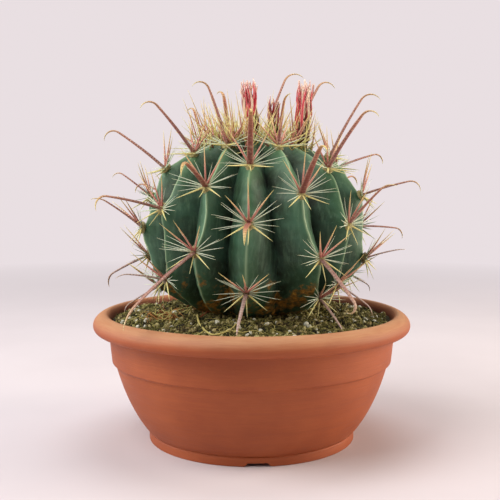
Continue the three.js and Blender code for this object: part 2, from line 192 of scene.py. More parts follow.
@dataclass(frozen=True)
class TerracottaPlastic(Finish):
    """Terracotta-coloured polypropylene with a turned look: matte, with fine level lines, pale scuffs, ochre
    wear and painted highlight on the rim's top, and painted shade inside.
    """

    name: str = "terracotta_polypropylene"
    roughness: float = 0.62
    ior: float = 1.49
    relief: tuple[float, ...] = (0.25, 0.05)
    line_pitch: float = 1.5

    def pattern(self, add: Adder, place: Socket, shader: bpy.types.Node) -> tuple[Socket, ...]:
        """Level lines at the pitch, cloudy clay tones, ochre wear with painted highlight on the rim's top,
        and painted shade, mottled, on the inside.

        Args:
            add: adds a node to the material.
            place: Object coordinates.
            shader: the shader, for sockets other than its colour.

        Returns:
            The colour, then a height for each depth in relief.
        """
        flattened = add(Node.STRETCH, place, (0.07, 0.07, 1.0))
        lines = add(Node.NOISE, flattened, per_mm(self.line_pitch), 3.0, 0.7)
        broad = add(Node.NOISE, flattened, per_mm(8.0), 2.0)
        clouds = add(Node.NOISE, place, per_mm(45.0), 4.0, 0.6)
        specks = add(Node.NOISE, place, per_mm(1.2), 3.0, 0.7)
        clay = add(Node.RAMP, clouds, stops={0.3: "#97461d", 0.5: "#9f4c21", 0.7: "#a85427"})
        clay = add(Node.BLEND, add(Node.RANGE, broad, 0.4, 0.7, 0.0, 0.3), clay, "#8c4120")
        clay = add(Node.BLEND, add(Node.RANGE, lines, 0.42, 0.75, 0.0, 0.3), clay, "#b9683e")
        clay = add(Node.BLEND, add(Node.RANGE, specks, 0.68, 0.76, 0.0, 0.4), clay, "#bb7a50")
        rim = add(Node.VALUE, attribute_name="rim")
        # ochre wear and painted highlight: the rim's top lightens to pale ochre along the turned lines
        rim_wear_and_highlight = add(Node.PRODUCT, rim, add(Node.RANGE, lines, 0.3, 0.7, 0.55, 0.95))
        clay = add(Node.BLEND, add(Node.PRODUCT, rim_wear_and_highlight, 0.75), clay, "#bf9870")
        inside = add(Node.VALUE, attribute_name="inside")
        # painted shade: the inside of the bowl darkens to near black-brown, mottled by the specks
        painted_inside_shade = add(Node.PRODUCT, inside, add(Node.RANGE, specks, 0.3, 0.6, 0.5, 0.9))
        clay = add(Node.BLEND, painted_inside_shade, clay, "#331a0e")
        gloss = add(Node.RANGE, lines, 0.3, 0.7, 0.55, 0.72)
        shader.id_data.links.new(gloss, shader.inputs["Roughness"])
        return clay, lines, specks


@dataclass(frozen=True)
class CactusSkin(Finish):
    """Waxy cactus skin: grey-green, with painted highlight along the crests and painted shade deep in the
    valleys, corky near the soil.
    """

    name: str = "waxy_cactus_skin"
    roughness: float = 0.5
    ior: float = 1.42
    relief: tuple[float, ...] = (0.1, 0.5)

    def pattern(self, add: Adder, place: Socket, shader: bpy.types.Node) -> tuple[Socket, ...]:
        """Greens by how far the point is from the crest and from the crown, with painted shade in the valleys
        and painted highlight on the crests and the crest line, with scars, streaks and cork.

        Args:
            add: adds a node to the material.
            place: Object coordinates.
            shader: the shader, for sockets other than its colour.

        Returns:
            The colour, then a height for each depth in relief.
        """
        crest = add(Node.VALUE, attribute_name="crest")
        edge = add(Node.VALUE, attribute_name="edge")
        height = add(Node.VALUE, attribute_name="height")
        cloud = add(Node.NOISE, place, per_mm(19.0), 4.0, 0.6)
        grain = add(Node.NOISE, place, per_mm(1.3), 3.0, 0.7)
        streak = add(Node.NOISE, add(Node.STRETCH, place, (1.0, 1.0, 0.16)), per_mm(3.2), 3.0, 0.6)
        # painted shade and highlight: the greens run from near black in the valleys, where shade falls, to
        # lighter on the crests
        green = add(Node.RAMP, crest,
                    stops={0.0: "#0b140a", 0.22: "#182a19", 0.6: "#26422b", 0.92: "#3a5f41", 1.0: "#4c7450"})
        # towards the top the crests lighten further, partly young growth and partly painted highlight, over
        # the same dark valleys
        young = add(Node.RAMP, crest,
                    stops={0.0: "#0e190c", 0.35: "#243f24", 0.75: "#3f6540", 1.0: "#83a675"})
        skin = add(Node.BLEND, add(Node.RANGE, height, 0.72, 1.0), green, young)
        skin = add(Node.BLEND, add(Node.RANGE, cloud, 0.38, 0.68, 0.0, 0.4), skin, "#48755e")
        skin = add(Node.BLEND, add(Node.RANGE, streak, 0.5, 0.78, 0.0, 0.35), skin, "#698c6c")
        skin = add(Node.BLEND, add(Node.RANGE, grain, 0.62, 0.74, 0.0, 0.3), skin, "#6c906d")
        # painted highlight: a pale line along the keels' crests, where light catches them
        skin = add(Node.BLEND, add(Node.PRODUCT, edge, 0.85), skin, "#a3bb93")
        scar = add(Node.NOISE, place, per_mm(19.0), 6.0, 0.66)
        low = add(Node.RANGE, height, 0.02, 0.3, 1.0, 0.0)
        patch = add(Node.RANGE, add(Node.SUM, scar, add(Node.PRODUCT, low, 0.19)), 0.62, 0.69)
        patch = add(Node.PRODUCT, patch, add(Node.RANGE, low, 0.05, 0.3))
        cork = add(Node.RAMP, add(Node.NOISE, place, per_mm(2.6), 4.0, 0.7),
                   stops={0.3: "#3f2f11", 0.44: "#755720", 0.56: "#a87228", 0.68: "#c4973f", 0.8: "#a39a58"})
        skin = add(Node.BLEND, add(Node.PRODUCT, patch, 0.9), skin, cork)
        shader.inputs["Subsurface Weight"].default_value = 0.06
        shader.inputs["Subsurface Radius"].default_value = (0.002, 0.004, 0.001)
        return skin, grain, scar


@dataclass(frozen=True)
class SpineHorn(Finish):
    """Horny spines: pale side spines, rosy straight ones, red-brown ringed hooks, all with yellow tips."""

    name: str = "cactus_spine_horn"
    roughness: float = 0.42
    ior: float = 1.54
    relief: tuple[float, ...] = (0.08,)

    def pattern(self, add: Adder, place: Socket, shader: bpy.types.Node) -> tuple[Socket, ...]:
        """Colour runs along each spine and depends on its kind and age; rings cross the hooked ones.

        Args:
            add: adds a node to the material.
            place: Object coordinates.
            shader: the shader, for sockets other than its colour.

        Returns:
            The colour, then a height for each depth in relief.
        """
        names = ("along", "kind", "age", "tint", "ring", "edge")
        along, kind, age, tint, ring, edge = (add(Node.VALUE, attribute_name=name) for name in names)
        thin = add(Node.RAMP, along,
                   stops={0.0: "#adb28d", 0.3: "#c9d6ba", 0.8: "#d3dfc5", 1.0: "#dbdcae"})
        rosy = add(Node.RAMP, along,
                   stops={0.0: "#a2554a", 0.4: "#c68676", 0.64: "#d6b07c", 1.0: "#ddd07a"})
        gold = add(Node.RAMP, along, stops={0.0: "#b3a062", 0.25: "#d6cc80", 1.0: "#efeaa2"})
        straight = add(Node.BLEND, add(Node.RANGE, tint, 0.35, 0.6), rosy, gold)
        hooked = add(Node.RAMP, along,
                     stops={0.0: "#6e322c", 0.45: "#8f4a3c", 0.7: "#a8664b", 0.84: "#c59a5a", 0.94: "#dccb78",
                            1.0: "#e6e094"})
        hooked = add(Node.BLEND, add(Node.RANGE, edge, 0.6, 1.0, 0.0, 0.4), hooked, "#caa58c")
        old = add(Node.RAMP, along,
                  stops={0.0: "#7d6258", 0.5: "#a98d84", 0.88: "#b79f92", 1.0: "#c9a870"})
        hooked = add(Node.BLEND, add(Node.RANGE, age, 0.3, 0.75), hooked, old)
        horn = add(Node.BLEND, add(Node.RANGE, kind, 0.1, 0.4), thin, straight)
        horn = add(Node.BLEND, add(Node.RANGE, kind, 0.6, 0.9), horn, hooked)
        band = add(Node.SINE, ring)
        ringed = add(Node.RANGE, kind, 0.6, 0.9, 0.05, 0.3)
        shade = add(Node.PRODUCT, add(Node.RANGE, band, -1.0, 1.0), ringed)
        horn = add(Node.BLEND, shade, horn, "#5e342c")
        streak = add(Node.NOISE, place, per_mm(2.0), 2.0)
        horn = add(Node.BLEND, add(Node.RANGE, streak, 0.5, 0.8, 0.0, 0.3), horn, "#dccba6")
        shader.inputs["Subsurface Weight"].default_value = 0.1
        shader.inputs["Subsurface Radius"].default_value = (0.001, 0.0006, 0.0003)
        return horn, band


@dataclass(frozen=True)
class AreoleFelt(Finish):
    """Felt of the areoles and the crown: matted cream wool, brown where it is old."""

    name: str = "areole_felt"
    roughness: float = 0.95
    ior: float = 1.5
    relief: tuple[float, ...] = (0.4,)

    def pattern(self, add: Adder, place: Socket, shader: bpy.types.Node) -> tuple[Socket, ...]:
        """Cream and straw tones, browner with age, with a soft sheen.

        Args:
            add: adds a node to the material.
            place: Object coordinates.
            shader: the shader, for sockets other than its colour.

        Returns:
            The colour, then a height for each depth in relief.
        """
        fuzz = add(Node.NOISE, place, per_mm(0.9), 4.0, 0.7)
        fresh = add(Node.RAMP, fuzz, stops={0.3: "#6f6238", 0.5: "#a79a62", 0.7: "#cfc794"})
        old = add(Node.RAMP, fuzz, stops={0.3: "#33271a", 0.55: "#665134", 0.75: "#9a8560"})
        shader.inputs["Sheen Weight"].default_value = 0.3
        return add(Node.BLEND, add(Node.VALUE, attribute_name="age"), fresh, old), fuzz


@dataclass(frozen=True)
class DryTepal(Finish):
    """Withered petals: papery crimson strips with pale edges and brown bases."""

    name: str = "withered_tepal"
    roughness: float = 0.75
    relief: tuple[float, ...] = (0.3,)

    def pattern(self, add: Adder, place: Socket, shader: bpy.types.Node) -> tuple[Socket, ...]:
        """Crimson to cream by strip, pale towards the edges and tips, with lengthwise creases.

        Args:
            add: adds a node to the material.
            place: Object coordinates.
            shader: the shader, for sockets other than its colour.

        Returns:
            The colour, then a height for each depth in relief.
        """
        along, tint, edge = (add(Node.VALUE, attribute_name=name) for name in ("along", "tint", "edge"))
        flesh = add(Node.RAMP, tint,
                    stops={0.0: "#4e2a20", 0.12: "#a82738", 0.4: "#d03247", 0.62: "#e0606a", 0.8: "#eda79d",
                           1.0: "#e6dfc0"})
        flesh = add(Node.BLEND, add(Node.RANGE, edge, 0.5, 1.0, 0.0, 0.55), flesh, "#eebfb2")
        flesh = add(Node.BLEND, add(Node.RANGE, along, 0.84, 1.0, 0.0, 0.85), flesh, "#efdccb")
        flesh = add(Node.BLEND, add(Node.RANGE, along, 0.05, 0.36), "#43261c", flesh)
        crease = add(Node.NOISE, add(Node.STRETCH, place, (1.0, 1.0, 0.12)), per_mm(0.9), 3.0)
        flesh = add(Node.BLEND, add(Node.RANGE, crease, 0.52, 0.72, 0.0, 0.45), flesh, "#8c2230")
        shader.inputs["Sheen Weight"].default_value = 0.15
        return flesh, crease


@dataclass(frozen=True)
class FloralHusk(Finish):
    """The dried floral tube: brown, scaly and dull."""

    name: str = "dried_floral_tube"
    roughness: float = 0.88
    relief: tuple[float, ...] = (0.6,)

    def pattern(self, add: Adder, place: Socket, shader: bpy.types.Node) -> tuple[Socket, ...]:
        """Dark brown with straw-coloured flecks.

        Args:
            add: adds a node to the material.
            place: Object coordinates.
            shader: the shader; not used here.

        Returns:
            The colour, then a height for each depth in relief.
        """
        fleck = add(Node.NOISE, place, per_mm(1.8), 4.0, 0.7)
        husk = add(Node.RAMP, fleck,
                   stops={0.3: "#2b1c14", 0.5: "#4f3324", 0.66: "#7a5c38", 0.8: "#b09a58"})
        return husk, fleck


@dataclass(frozen=True)
class Peat(Finish):
    """Moist peat with algae: dark brown crumbs, olive where moss has taken."""

    name: str = "mossy_peat"
    roughness: float = 0.94
    relief: tuple[float, ...] = (0.8,)

    def pattern(self, add: Adder, place: Socket, shader: bpy.types.Node) -> tuple[Socket, ...]:
        """Brown to ochre by crumb and clump, with moss in patches about a finger wide.

        Args:
            add: adds a node to the material.
            place: Object coordinates.
            shader: the shader; not used here.

        Returns:
            The colour, then a height for each depth in relief.
        """
        tint = add(Node.VALUE, attribute_name="tint")
        crumb = add(Node.NOISE, place, per_mm(1.4), 5.0, 0.75)
        clump = add(Node.RANGE, add(Node.NOISE, place, per_mm(7.0), 3.0, 0.6), 0.35, 0.65, -0.16, 0.16)
        tone = add(Node.SUM, add(Node.PRODUCT, crumb, 0.6), add(Node.PRODUCT, tint, 0.5))
        tone = add(Node.SUM, tone, clump)
        brown = add(Node.RAMP, tone,
                    stops={0.25: "#171108", 0.45: "#43371c", 0.66: "#8c7c50", 0.9: "#c6b98a"})
        olive = add(Node.RAMP, tone,
                    stops={0.25: "#191a09", 0.45: "#4c4b1f", 0.66: "#918a4c", 0.9: "#c9c291"})
        moss = add(Node.RANGE, add(Node.NOISE, place, per_mm(15.0), 4.0, 0.65), 0.42, 0.58, 0.1, 0.9)
        return add(Node.BLEND, moss, brown, olive), crumb


@dataclass(frozen=True)
class Perlite(Finish):
    """Expanded perlite: off-white, chalky, stained by the peat."""

    name: str = "expanded_perlite"
    roughness: float = 0.9
    ior: float = 1.5
    relief: tuple[float, ...] = (0.3,)

    def pattern(self, add: Adder, place: Socket, shader: bpy.types.Node) -> tuple[Socket, ...]:
        """Chalk white with grey-green pits."""
        pits = add(Node.NOISE, place, per_mm(0.9), 4.0, 0.7)
        return add(Node.RAMP, pits, stops={0.3: "#8a8670", 0.46: "#c2c1ae", 0.68: "#e6e6d8"}), pits


@dataclass(frozen=True)
class DryFibre(Finish):
    """Dead moss stems, root threads and straw: olive to yellow-brown fibres."""

    name: str = "dry_plant_fibre"
    roughness: float = 0.85
    relief: tuple[float, ...] = (0.12,)

    def pattern(self, add: Adder, place: Socket, shader: bpy.types.Node) -> tuple[Socket, ...]:
        """Each strand has its own tone; old bark flecks cross it.

        Args:
            add: adds a node to the material.
            place: Object coordinates.
            shader: the shader; not used here.

        Returns:
            The colour, then a height for each depth in relief.
        """
        fleck = add(Node.NOISE, place, per_mm(1.2), 3.0)
        strand = add(Node.RAMP, add(Node.VALUE, attribute_name="tint"),
                     stops={0.0: "#45441d", 0.35: "#7c7738", 0.6: "#a8a05c", 0.72: "#bfb06a", 0.86: "#a5703a",
                            1.0: "#8e4428"})
        return add(Node.BLEND, add(Node.RANGE, fleck, 0.5, 0.75, 0.0, 0.4), strand, "#4a3a20"), fleck


@dataclass(frozen=True)
class StudioPaper(Finish):
    """Pale matte paper under the pot, lit from behind towards its far edge."""

    name: str = "pale_studio_paper"
    roughness: float = 0.95
    far_colour: str = "#ece2e5"
    far_light: float = 0.97
    near: float = 0.42
    far: float = 1.5

    def build(self) -> bpy.types.Material:
        """Makes the paper, and blends it by distance from the pot into an even glow.

        Returns:
            The material.
        """
        material = super().build()
        tree = material.node_tree
        add = partial(add_node, tree)
        shader = tree.nodes["Principled BSDF"].outputs[0]
        share = add(Node.RANGE, add(Node.DISTANCE, add(Node.PLACE)), self.near, self.far)
        glow = add(Node.GLOW, self.far_colour, self.far_light)
        blended = add(Node.MERGE, share, shader, glow)
        tree.links.new(blended, tree.nodes["Material Output"].inputs["Surface"])
        return material

    def pattern(self, add: Adder, place: Socket, shader: bpy.types.Node) -> tuple[Socket, ...]:
        """Barely clouded pale rose-white."""
        cloud = add(Node.NOISE, place, per_mm(180.0), 3.0)
        return (add(Node.RAMP, cloud, stops={0.3: "#c8c1c6", 0.7: "#cec7cc"}),)


# ---------------------------------------------------------------- surfaces as arrays

@dataclass
class Shell:
    """One closed surface, or many, as arrays ready for a mesh.

    Args:
        points: vertices, (n, 3), in millimetres.
        quads: four corners of each face.
        triangles: three corners of each face.
        values: attribute name to one number per vertex.
    """

    points: Array
    quads: Array
    triangles: Array
    values: dict[str, Array] = field(default_factory=dict)

    def painted(self, **values: float | Array) -> "Shell":
        """Sets attributes, each one number for all vertices or one per vertex, and returns the shell.

        Args:
            values: attribute name to one number for all vertices, or to one per vertex.

        Returns:
            The shell itself.
        """
        for name, value in values.items():
            self.values[name] = np.broadcast_to(np.asarray(value, float), (len(self.points),)).copy()
        return self


def grid_quads(rows: int, columns: int, wrapped: bool) -> Array:
    """Faces of a grid whose vertices run row by row.

    Args:
        rows: number of rows.
        columns: number of columns.
        wrapped: whether the last column joins the first.

    Returns:
        Corner numbers, (faces, 4), turning the way that faces out when rows run along a tube.
    """
    across = columns if wrapped else columns - 1
    row, column = np.meshgrid(np.arange(rows - 1), np.arange(across), indexing="ij")
    beside = (column + 1) % columns
    corners = [row * columns + column, row * columns + beside, (row + 1) * columns + beside,
               (row + 1) * columns + column]
    return np.stack(corners, -1).reshape(-1, 4)


def capped_rings(rings: Array, tips: Array | None = None) -> Shell:
    """Closed tubes from rings of points.

    Each tube is its rings joined in order, with a fan of triangles from a middle point at both ends.

    Args:
        rings: (tubes, rings, sides, 3), the sides turning anticlockwise seen from the tube's end.
        tips: the two end points of each tube, (tubes, 2, 3); the end rings' middles if left out.

    Returns:
        The shell of all tubes.
    """
    count, steps, sides, _ = rings.shape
    if tips is None:
        tips = np.stack([rings[:, 0].mean(1), rings[:, -1].mean(1)], 1)
    each = steps * sides + 2
    points = np.concatenate([rings.reshape(count, -1, 3), tips], 1).reshape(-1, 3)
    start = np.arange(count)[:, None, None] * each
    quads = (grid_quads(steps, sides, True)[None] + start).reshape(-1, 4)
    ring = np.arange(sides)
    beside = (ring + 1) % sides
    last = (steps - 1) * sides
    base = np.stack([np.full(sides, each - 2), beside, ring], -1)
    top = np.stack([np.full(sides, each - 1), last + ring, last + beside], -1)
    fans = np.concatenate([base, top])
    triangles = (fans[None] + start).reshape(-1, 3)
    return Shell(points, quads, triangles)


def spread(values: Array, sides: int) -> Array:
    """Repeats a number per ring, (tubes, rings), over all vertices of capped_rings."""
    around = np.repeat(values[:, :, None], sides, 2).reshape(len(values), -1)
    return np.concatenate([around, values[:, :1], values[:, -1:]], 1).reshape(-1)


def tubes(paths: Array, wide: Array, thick: Array, reference: Array, sides: int, cup: float = 0.0) -> Shell:
    """Tubes with oval sections carried along paths.

    A section point is the path's point plus cos(turn) times wide along the side direction and sin(turn)
    times thick along the flat direction; cup lifts the section's edges by cup times wide times cos squared.

    Args:
        paths: (tubes, rings, 3) points of the middle lines.
        wide: (tubes, rings) half widths along the side direction.
        thick: (tubes, rings) half widths across it.
        reference: (tubes, 3) the direction that the side direction keeps to.
        sides: number of points around.
        cup: how far a strip's edges curl, as a share of its width.

    Returns:
        The shell, with attributes along (0 base, 1 tip) and edge (1 at the side edges).
    """
    ahead = np.gradient(paths, axis=1)
    ahead /= np.linalg.norm(ahead, axis=-1, keepdims=True) + 1e-9
    side = reference[:, None, :] - (reference[:, None, :] * ahead).sum(-1, keepdims=True) * ahead
    side /= np.linalg.norm(side, axis=-1, keepdims=True) + 1e-9
    flat = np.cross(ahead, side)
    turn = np.arange(sides) * 2 * np.pi / sides
    across = np.cos(turn)[None, None, :, None] * wide[:, :, None, None]
    lift = np.sin(turn)[None, None, :, None] * thick[:, :, None, None]
    lift = lift + cup * wide[:, :, None, None] * np.cos(turn)[None, None, :, None] ** 2
    rings = paths[:, :, None, :] + across * side[:, :, None, :] + lift * flat[:, :, None, :]
    shell = capped_rings(rings, np.stack([paths[:, 0], paths[:, -1]], 1))
    share = np.broadcast_to(np.linspace(0, 1, paths.shape[1]), paths.shape[:2])
    edge = np.broadcast_to(np.abs(np.cos(turn)), (*paths.shape[:2], sides)).reshape(len(paths), -1)
    edge = np.concatenate([edge, np.zeros((len(paths), 2))], 1).reshape(-1)
    return shell.painted(along=spread(share, sides), edge=edge)


def ball(rows: int, columns: int) -> Array:
    """Unit ball as level rings from the bottom up, without its poles.

    Args:
        rows: rings of points between the poles.
        columns: points around.

    Returns:
        The points, (rows, columns, 3).
    """
    polar = np.linspace(np.pi, 0, rows + 2)[1:-1]
    turn = np.arange(columns) * 2 * np.pi / columns
    return np.stack([np.sin(polar)[:, None] * np.cos(turn), np.sin(polar)[:, None] * np.sin(turn),
                     np.cos(polar)[:, None] + 0 * turn], -1)


def lumps(centres: Array, radii: Array, rows: int, columns: int, rng: np.random.Generator,
          rough: float = 0.25) -> Shell:
    """Uneven pebbles: each a ball whose radius swells and dips by three random waves.

    Args:
        centres: (lumps, 3) middles.
        radii: (lumps, 3) half sizes along X, Y and Z.
        rows: rings of vertices between the poles.
        columns: vertices around.
        rng: the source of random numbers.
        rough: height of the waves as a share of the radius.

    Returns:
        The shell of all pebbles.
    """
    unit = ball(rows, columns)
    ways = rng.normal(size=(len(centres), 3, 3)) * 2.2
    phases = rng.uniform(0, 2 * np.pi, (len(centres), 3))
    swell = np.sin(np.einsum("rcd,kwd->krcw", unit, ways) + phases[:, None, None, :]).mean(-1)
    uneven = unit[None] * (1 + rough * swell[..., None])
    rings = centres[:, None, None, :] + uneven * radii[:, None, None, :]
    poles = np.stack([centres - radii * (0, 0, 1), centres + radii * (0, 0, 1)], 1)
    return capped_rings(rings, poles)


def waves(points: Array, size_mm: float, seed: int, count: int = 7) -> Array:
    """Smooth relief between about -1 and 1: a mean of sine waves of one length in random directions.

    Args:
        points: (..., 3) places in millimetres.
        size_mm: distance from crest to crest.
        seed: picks the directions.
        count: number of waves.

    Returns:
        One number per point.
    """
    rng = np.random.default_rng(seed)
    ways = rng.normal(size=(count, 3))
    ways *= 2 * np.pi / size_mm / np.linalg.norm(ways, axis=1, keepdims=True)
    total = np.sin(points @ ways.T + rng.uniform(0, 2 * np.pi, count)).sum(-1)
    return total / math.sqrt(count) / 1.2


def together(shells: list[Shell]) -> Shell:
    """Joins shells into one; an attribute that a shell lacks is 0 on it.

    Args:
        shells: the shells, in order.

    Returns:
        The joined shell.
    """
    names = sorted({name for shell in shells for name in shell.values})
    starts = np.cumsum([0] + [len(shell.points) for shell in shells[:-1]])
    values = {
        name: np.concatenate([s.values.get(name, np.zeros(len(s.points))) for s in shells]) for name in names
    }
    return Shell(
        np.concatenate([s.points for s in shells]),
        np.concatenate([s.quads + start for s, start in zip(shells, starts)]),
        np.concatenate([s.triangles + start for s, start in zip(shells, starts)]),
        values,
    )


def piece(name: str, dressed: list[tuple[Shell, Finish]], replaced: tuple[str, ...] = (),
          sharp_degrees: float | None = None) -> bpy.types.Object:
    """Makes one object of the model from shells with their finishes.

    Args:
        name: the object's name.
        dressed: shells, each with its finish.
        replaced: CAD nodes that it stands for.
        sharp_degrees: edges that turn more than this stay crisp; all are smooth if left out.

    Returns:
        The object, riding on the root body.
    """
    shell = together([s for s, _ in dressed])
    sizes = [np.full(len(shell.quads), 4), np.full(len(shell.triangles), 3)]
    corners = np.concatenate([shell.quads.ravel(), shell.triangles.ravel()]).astype(np.int32)
    sizes = np.concatenate(sizes)
    mesh = bpy.data.meshes.new(name)
    mesh.vertices.add(len(shell.points))
    mesh.vertices.foreach_set("co", (shell.points * MM).astype(np.float32).ravel())
    mesh.loops.add(len(corners))
    mesh.loops.foreach_set("vertex_index", corners)
    mesh.polygons.add(len(sizes))
    starts = np.concatenate([[0], np.cumsum(sizes)[:-1]])
    mesh.polygons.foreach_set("loop_start", starts.astype(np.int32))
    mesh.polygons.foreach_set("use_smooth", np.ones(len(sizes), bool))
    index = [np.concatenate([np.full(len(getattr(s, part)), i) for i, (s, _) in enumerate(dressed)])
             for part in ("quads", "triangles")]
    mesh.polygons.foreach_set("material_index", np.concatenate(index).astype(np.int32))
    mesh.update(calc_edges=True)
    for key, value in shell.values.items():
        mesh.attributes.new(key, "FLOAT", "POINT").data.foreach_set("value", value.astype(np.float32))
    for _, finish in dressed:
        mesh.materials.append(finish.build())
    if sharp_degrees is not None:
        mesh.set_sharp_from_angle(angle=math.radians(sharp_degrees))
    made = bpy.data.objects.new(name, mesh)
    bpy.context.scene.collection.objects.link(made)
    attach(made, "root")
    if replaced:
        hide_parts(*replaced)
    log.info("%s: %d faces", name, len(sizes))
    return made


# ---------------------------------------------------------------- directions and curves

def outward(turn: Array | float) -> Array:
    """Level unit vector at a turn in degrees, 0 towards -Y and 90 towards +X."""
    angle = np.radians(turn)
    return np.stack([np.sin(angle), -np.cos(angle), 0 * angle], -1)


def sideways(turn: Array | float) -> Array:
    """Level unit vector square to outward, towards greater turns."""
    angle = np.radians(turn)
    return np.stack([np.cos(angle), np.sin(angle), 0 * angle], -1)


def bezier(controls: list[tuple[float, float]], steps: int) -> Array:
    """Points of a Bezier curve: its controls weighted by Bernstein polynomials at even steps.

    Args:
        controls: the curve's control points.
        steps: number of points.

    Returns:
        Points of the curve, (steps, 2).
    """
    share = np.linspace(0, 1, steps)[:, None]
    order = len(controls) - 1
    weights = [math.comb(order, i) * share ** i * (1 - share) ** (order - i) for i in range(order + 1)]
    return sum(w * np.array(c, float) for w, c in zip(weights, controls))


def softened(profile: Array, radius: float, turn_degrees: float = 22.0) -> Array:
    """Rounds a profile's sharp corners: each becomes five points of a small parabola.

    Args:
        profile: (n, 2) radius and height.
        radius: how far from the corner the rounding starts, at most a third of the edge.
        turn_degrees: corners that turn less are left as they are.

    Returns:
        The new profile.
    """
    points = [profile[0]]
    for before, corner, after in zip(profile[:-2], profile[1:-1], profile[2:]):
        back, ahead = before - corner, after - corner
        reach_back, reach_ahead = np.linalg.norm(back), np.linalg.norm(ahead)
        bend = math.pi - math.acos(np.clip(back @ ahead / (reach_back * reach_ahead), -1, 1))
        if math.degrees(bend) < turn_degrees:
            points.append(corner)
            continue
        start = corner + back * min(radius / reach_back, 1 / 3)
        end = corner + ahead * min(radius / reach_ahead, 1 / 3)
        points.extend(bezier([tuple(start), tuple(corner), tuple(end)], 5))
    points.append(profile[-1])
    return np.array(points)


def resampled(profile: Array, spacing: float) -> Array:
    """Adds points on a profile's long edges so that none is longer than spacing.

    Args:
        profile: (n, 2) radius and height.
        spacing: the longest edge that is left.

    Returns:
        The new profile, (n, 2).
    """
    parts = [profile[:1]]
    for start, end in zip(profile[:-1], profile[1:]):
        count = max(1, math.ceil(np.linalg.norm(end - start) / spacing))
        share = np.linspace(0, 1, count + 1)[1:, None]
        parts.append(start + (end - start) * share)
    return np.concatenate(parts)


def smooth_path(points: list[tuple[float, float, float]], steps: int) -> Array:
    """Catmull-Rom curve through points: each span is the cubic set by its neighbours.

    Args:
        points: what the curve passes through.
        steps: number of points.

    Returns:
        Points of the curve, (steps, 3).
    """
    knots = np.array([points[0], *points, points[-1]], float)
    share = np.linspace(0, len(points) - 1 - 1e-6, steps)
    span = share.astype(int)
    t = (share - span)[:, None]
    a, b, c, d = (knots[span + i] for i in range(4))
    square, cube = 2 * a - 5 * b + 4 * c - d, 3 * b - a - 3 * c + d
    return 0.5 * (2 * b + (c - a) * t + square * t ** 2 + cube * t ** 3)


# ---------------------------------------------------------------- bowl

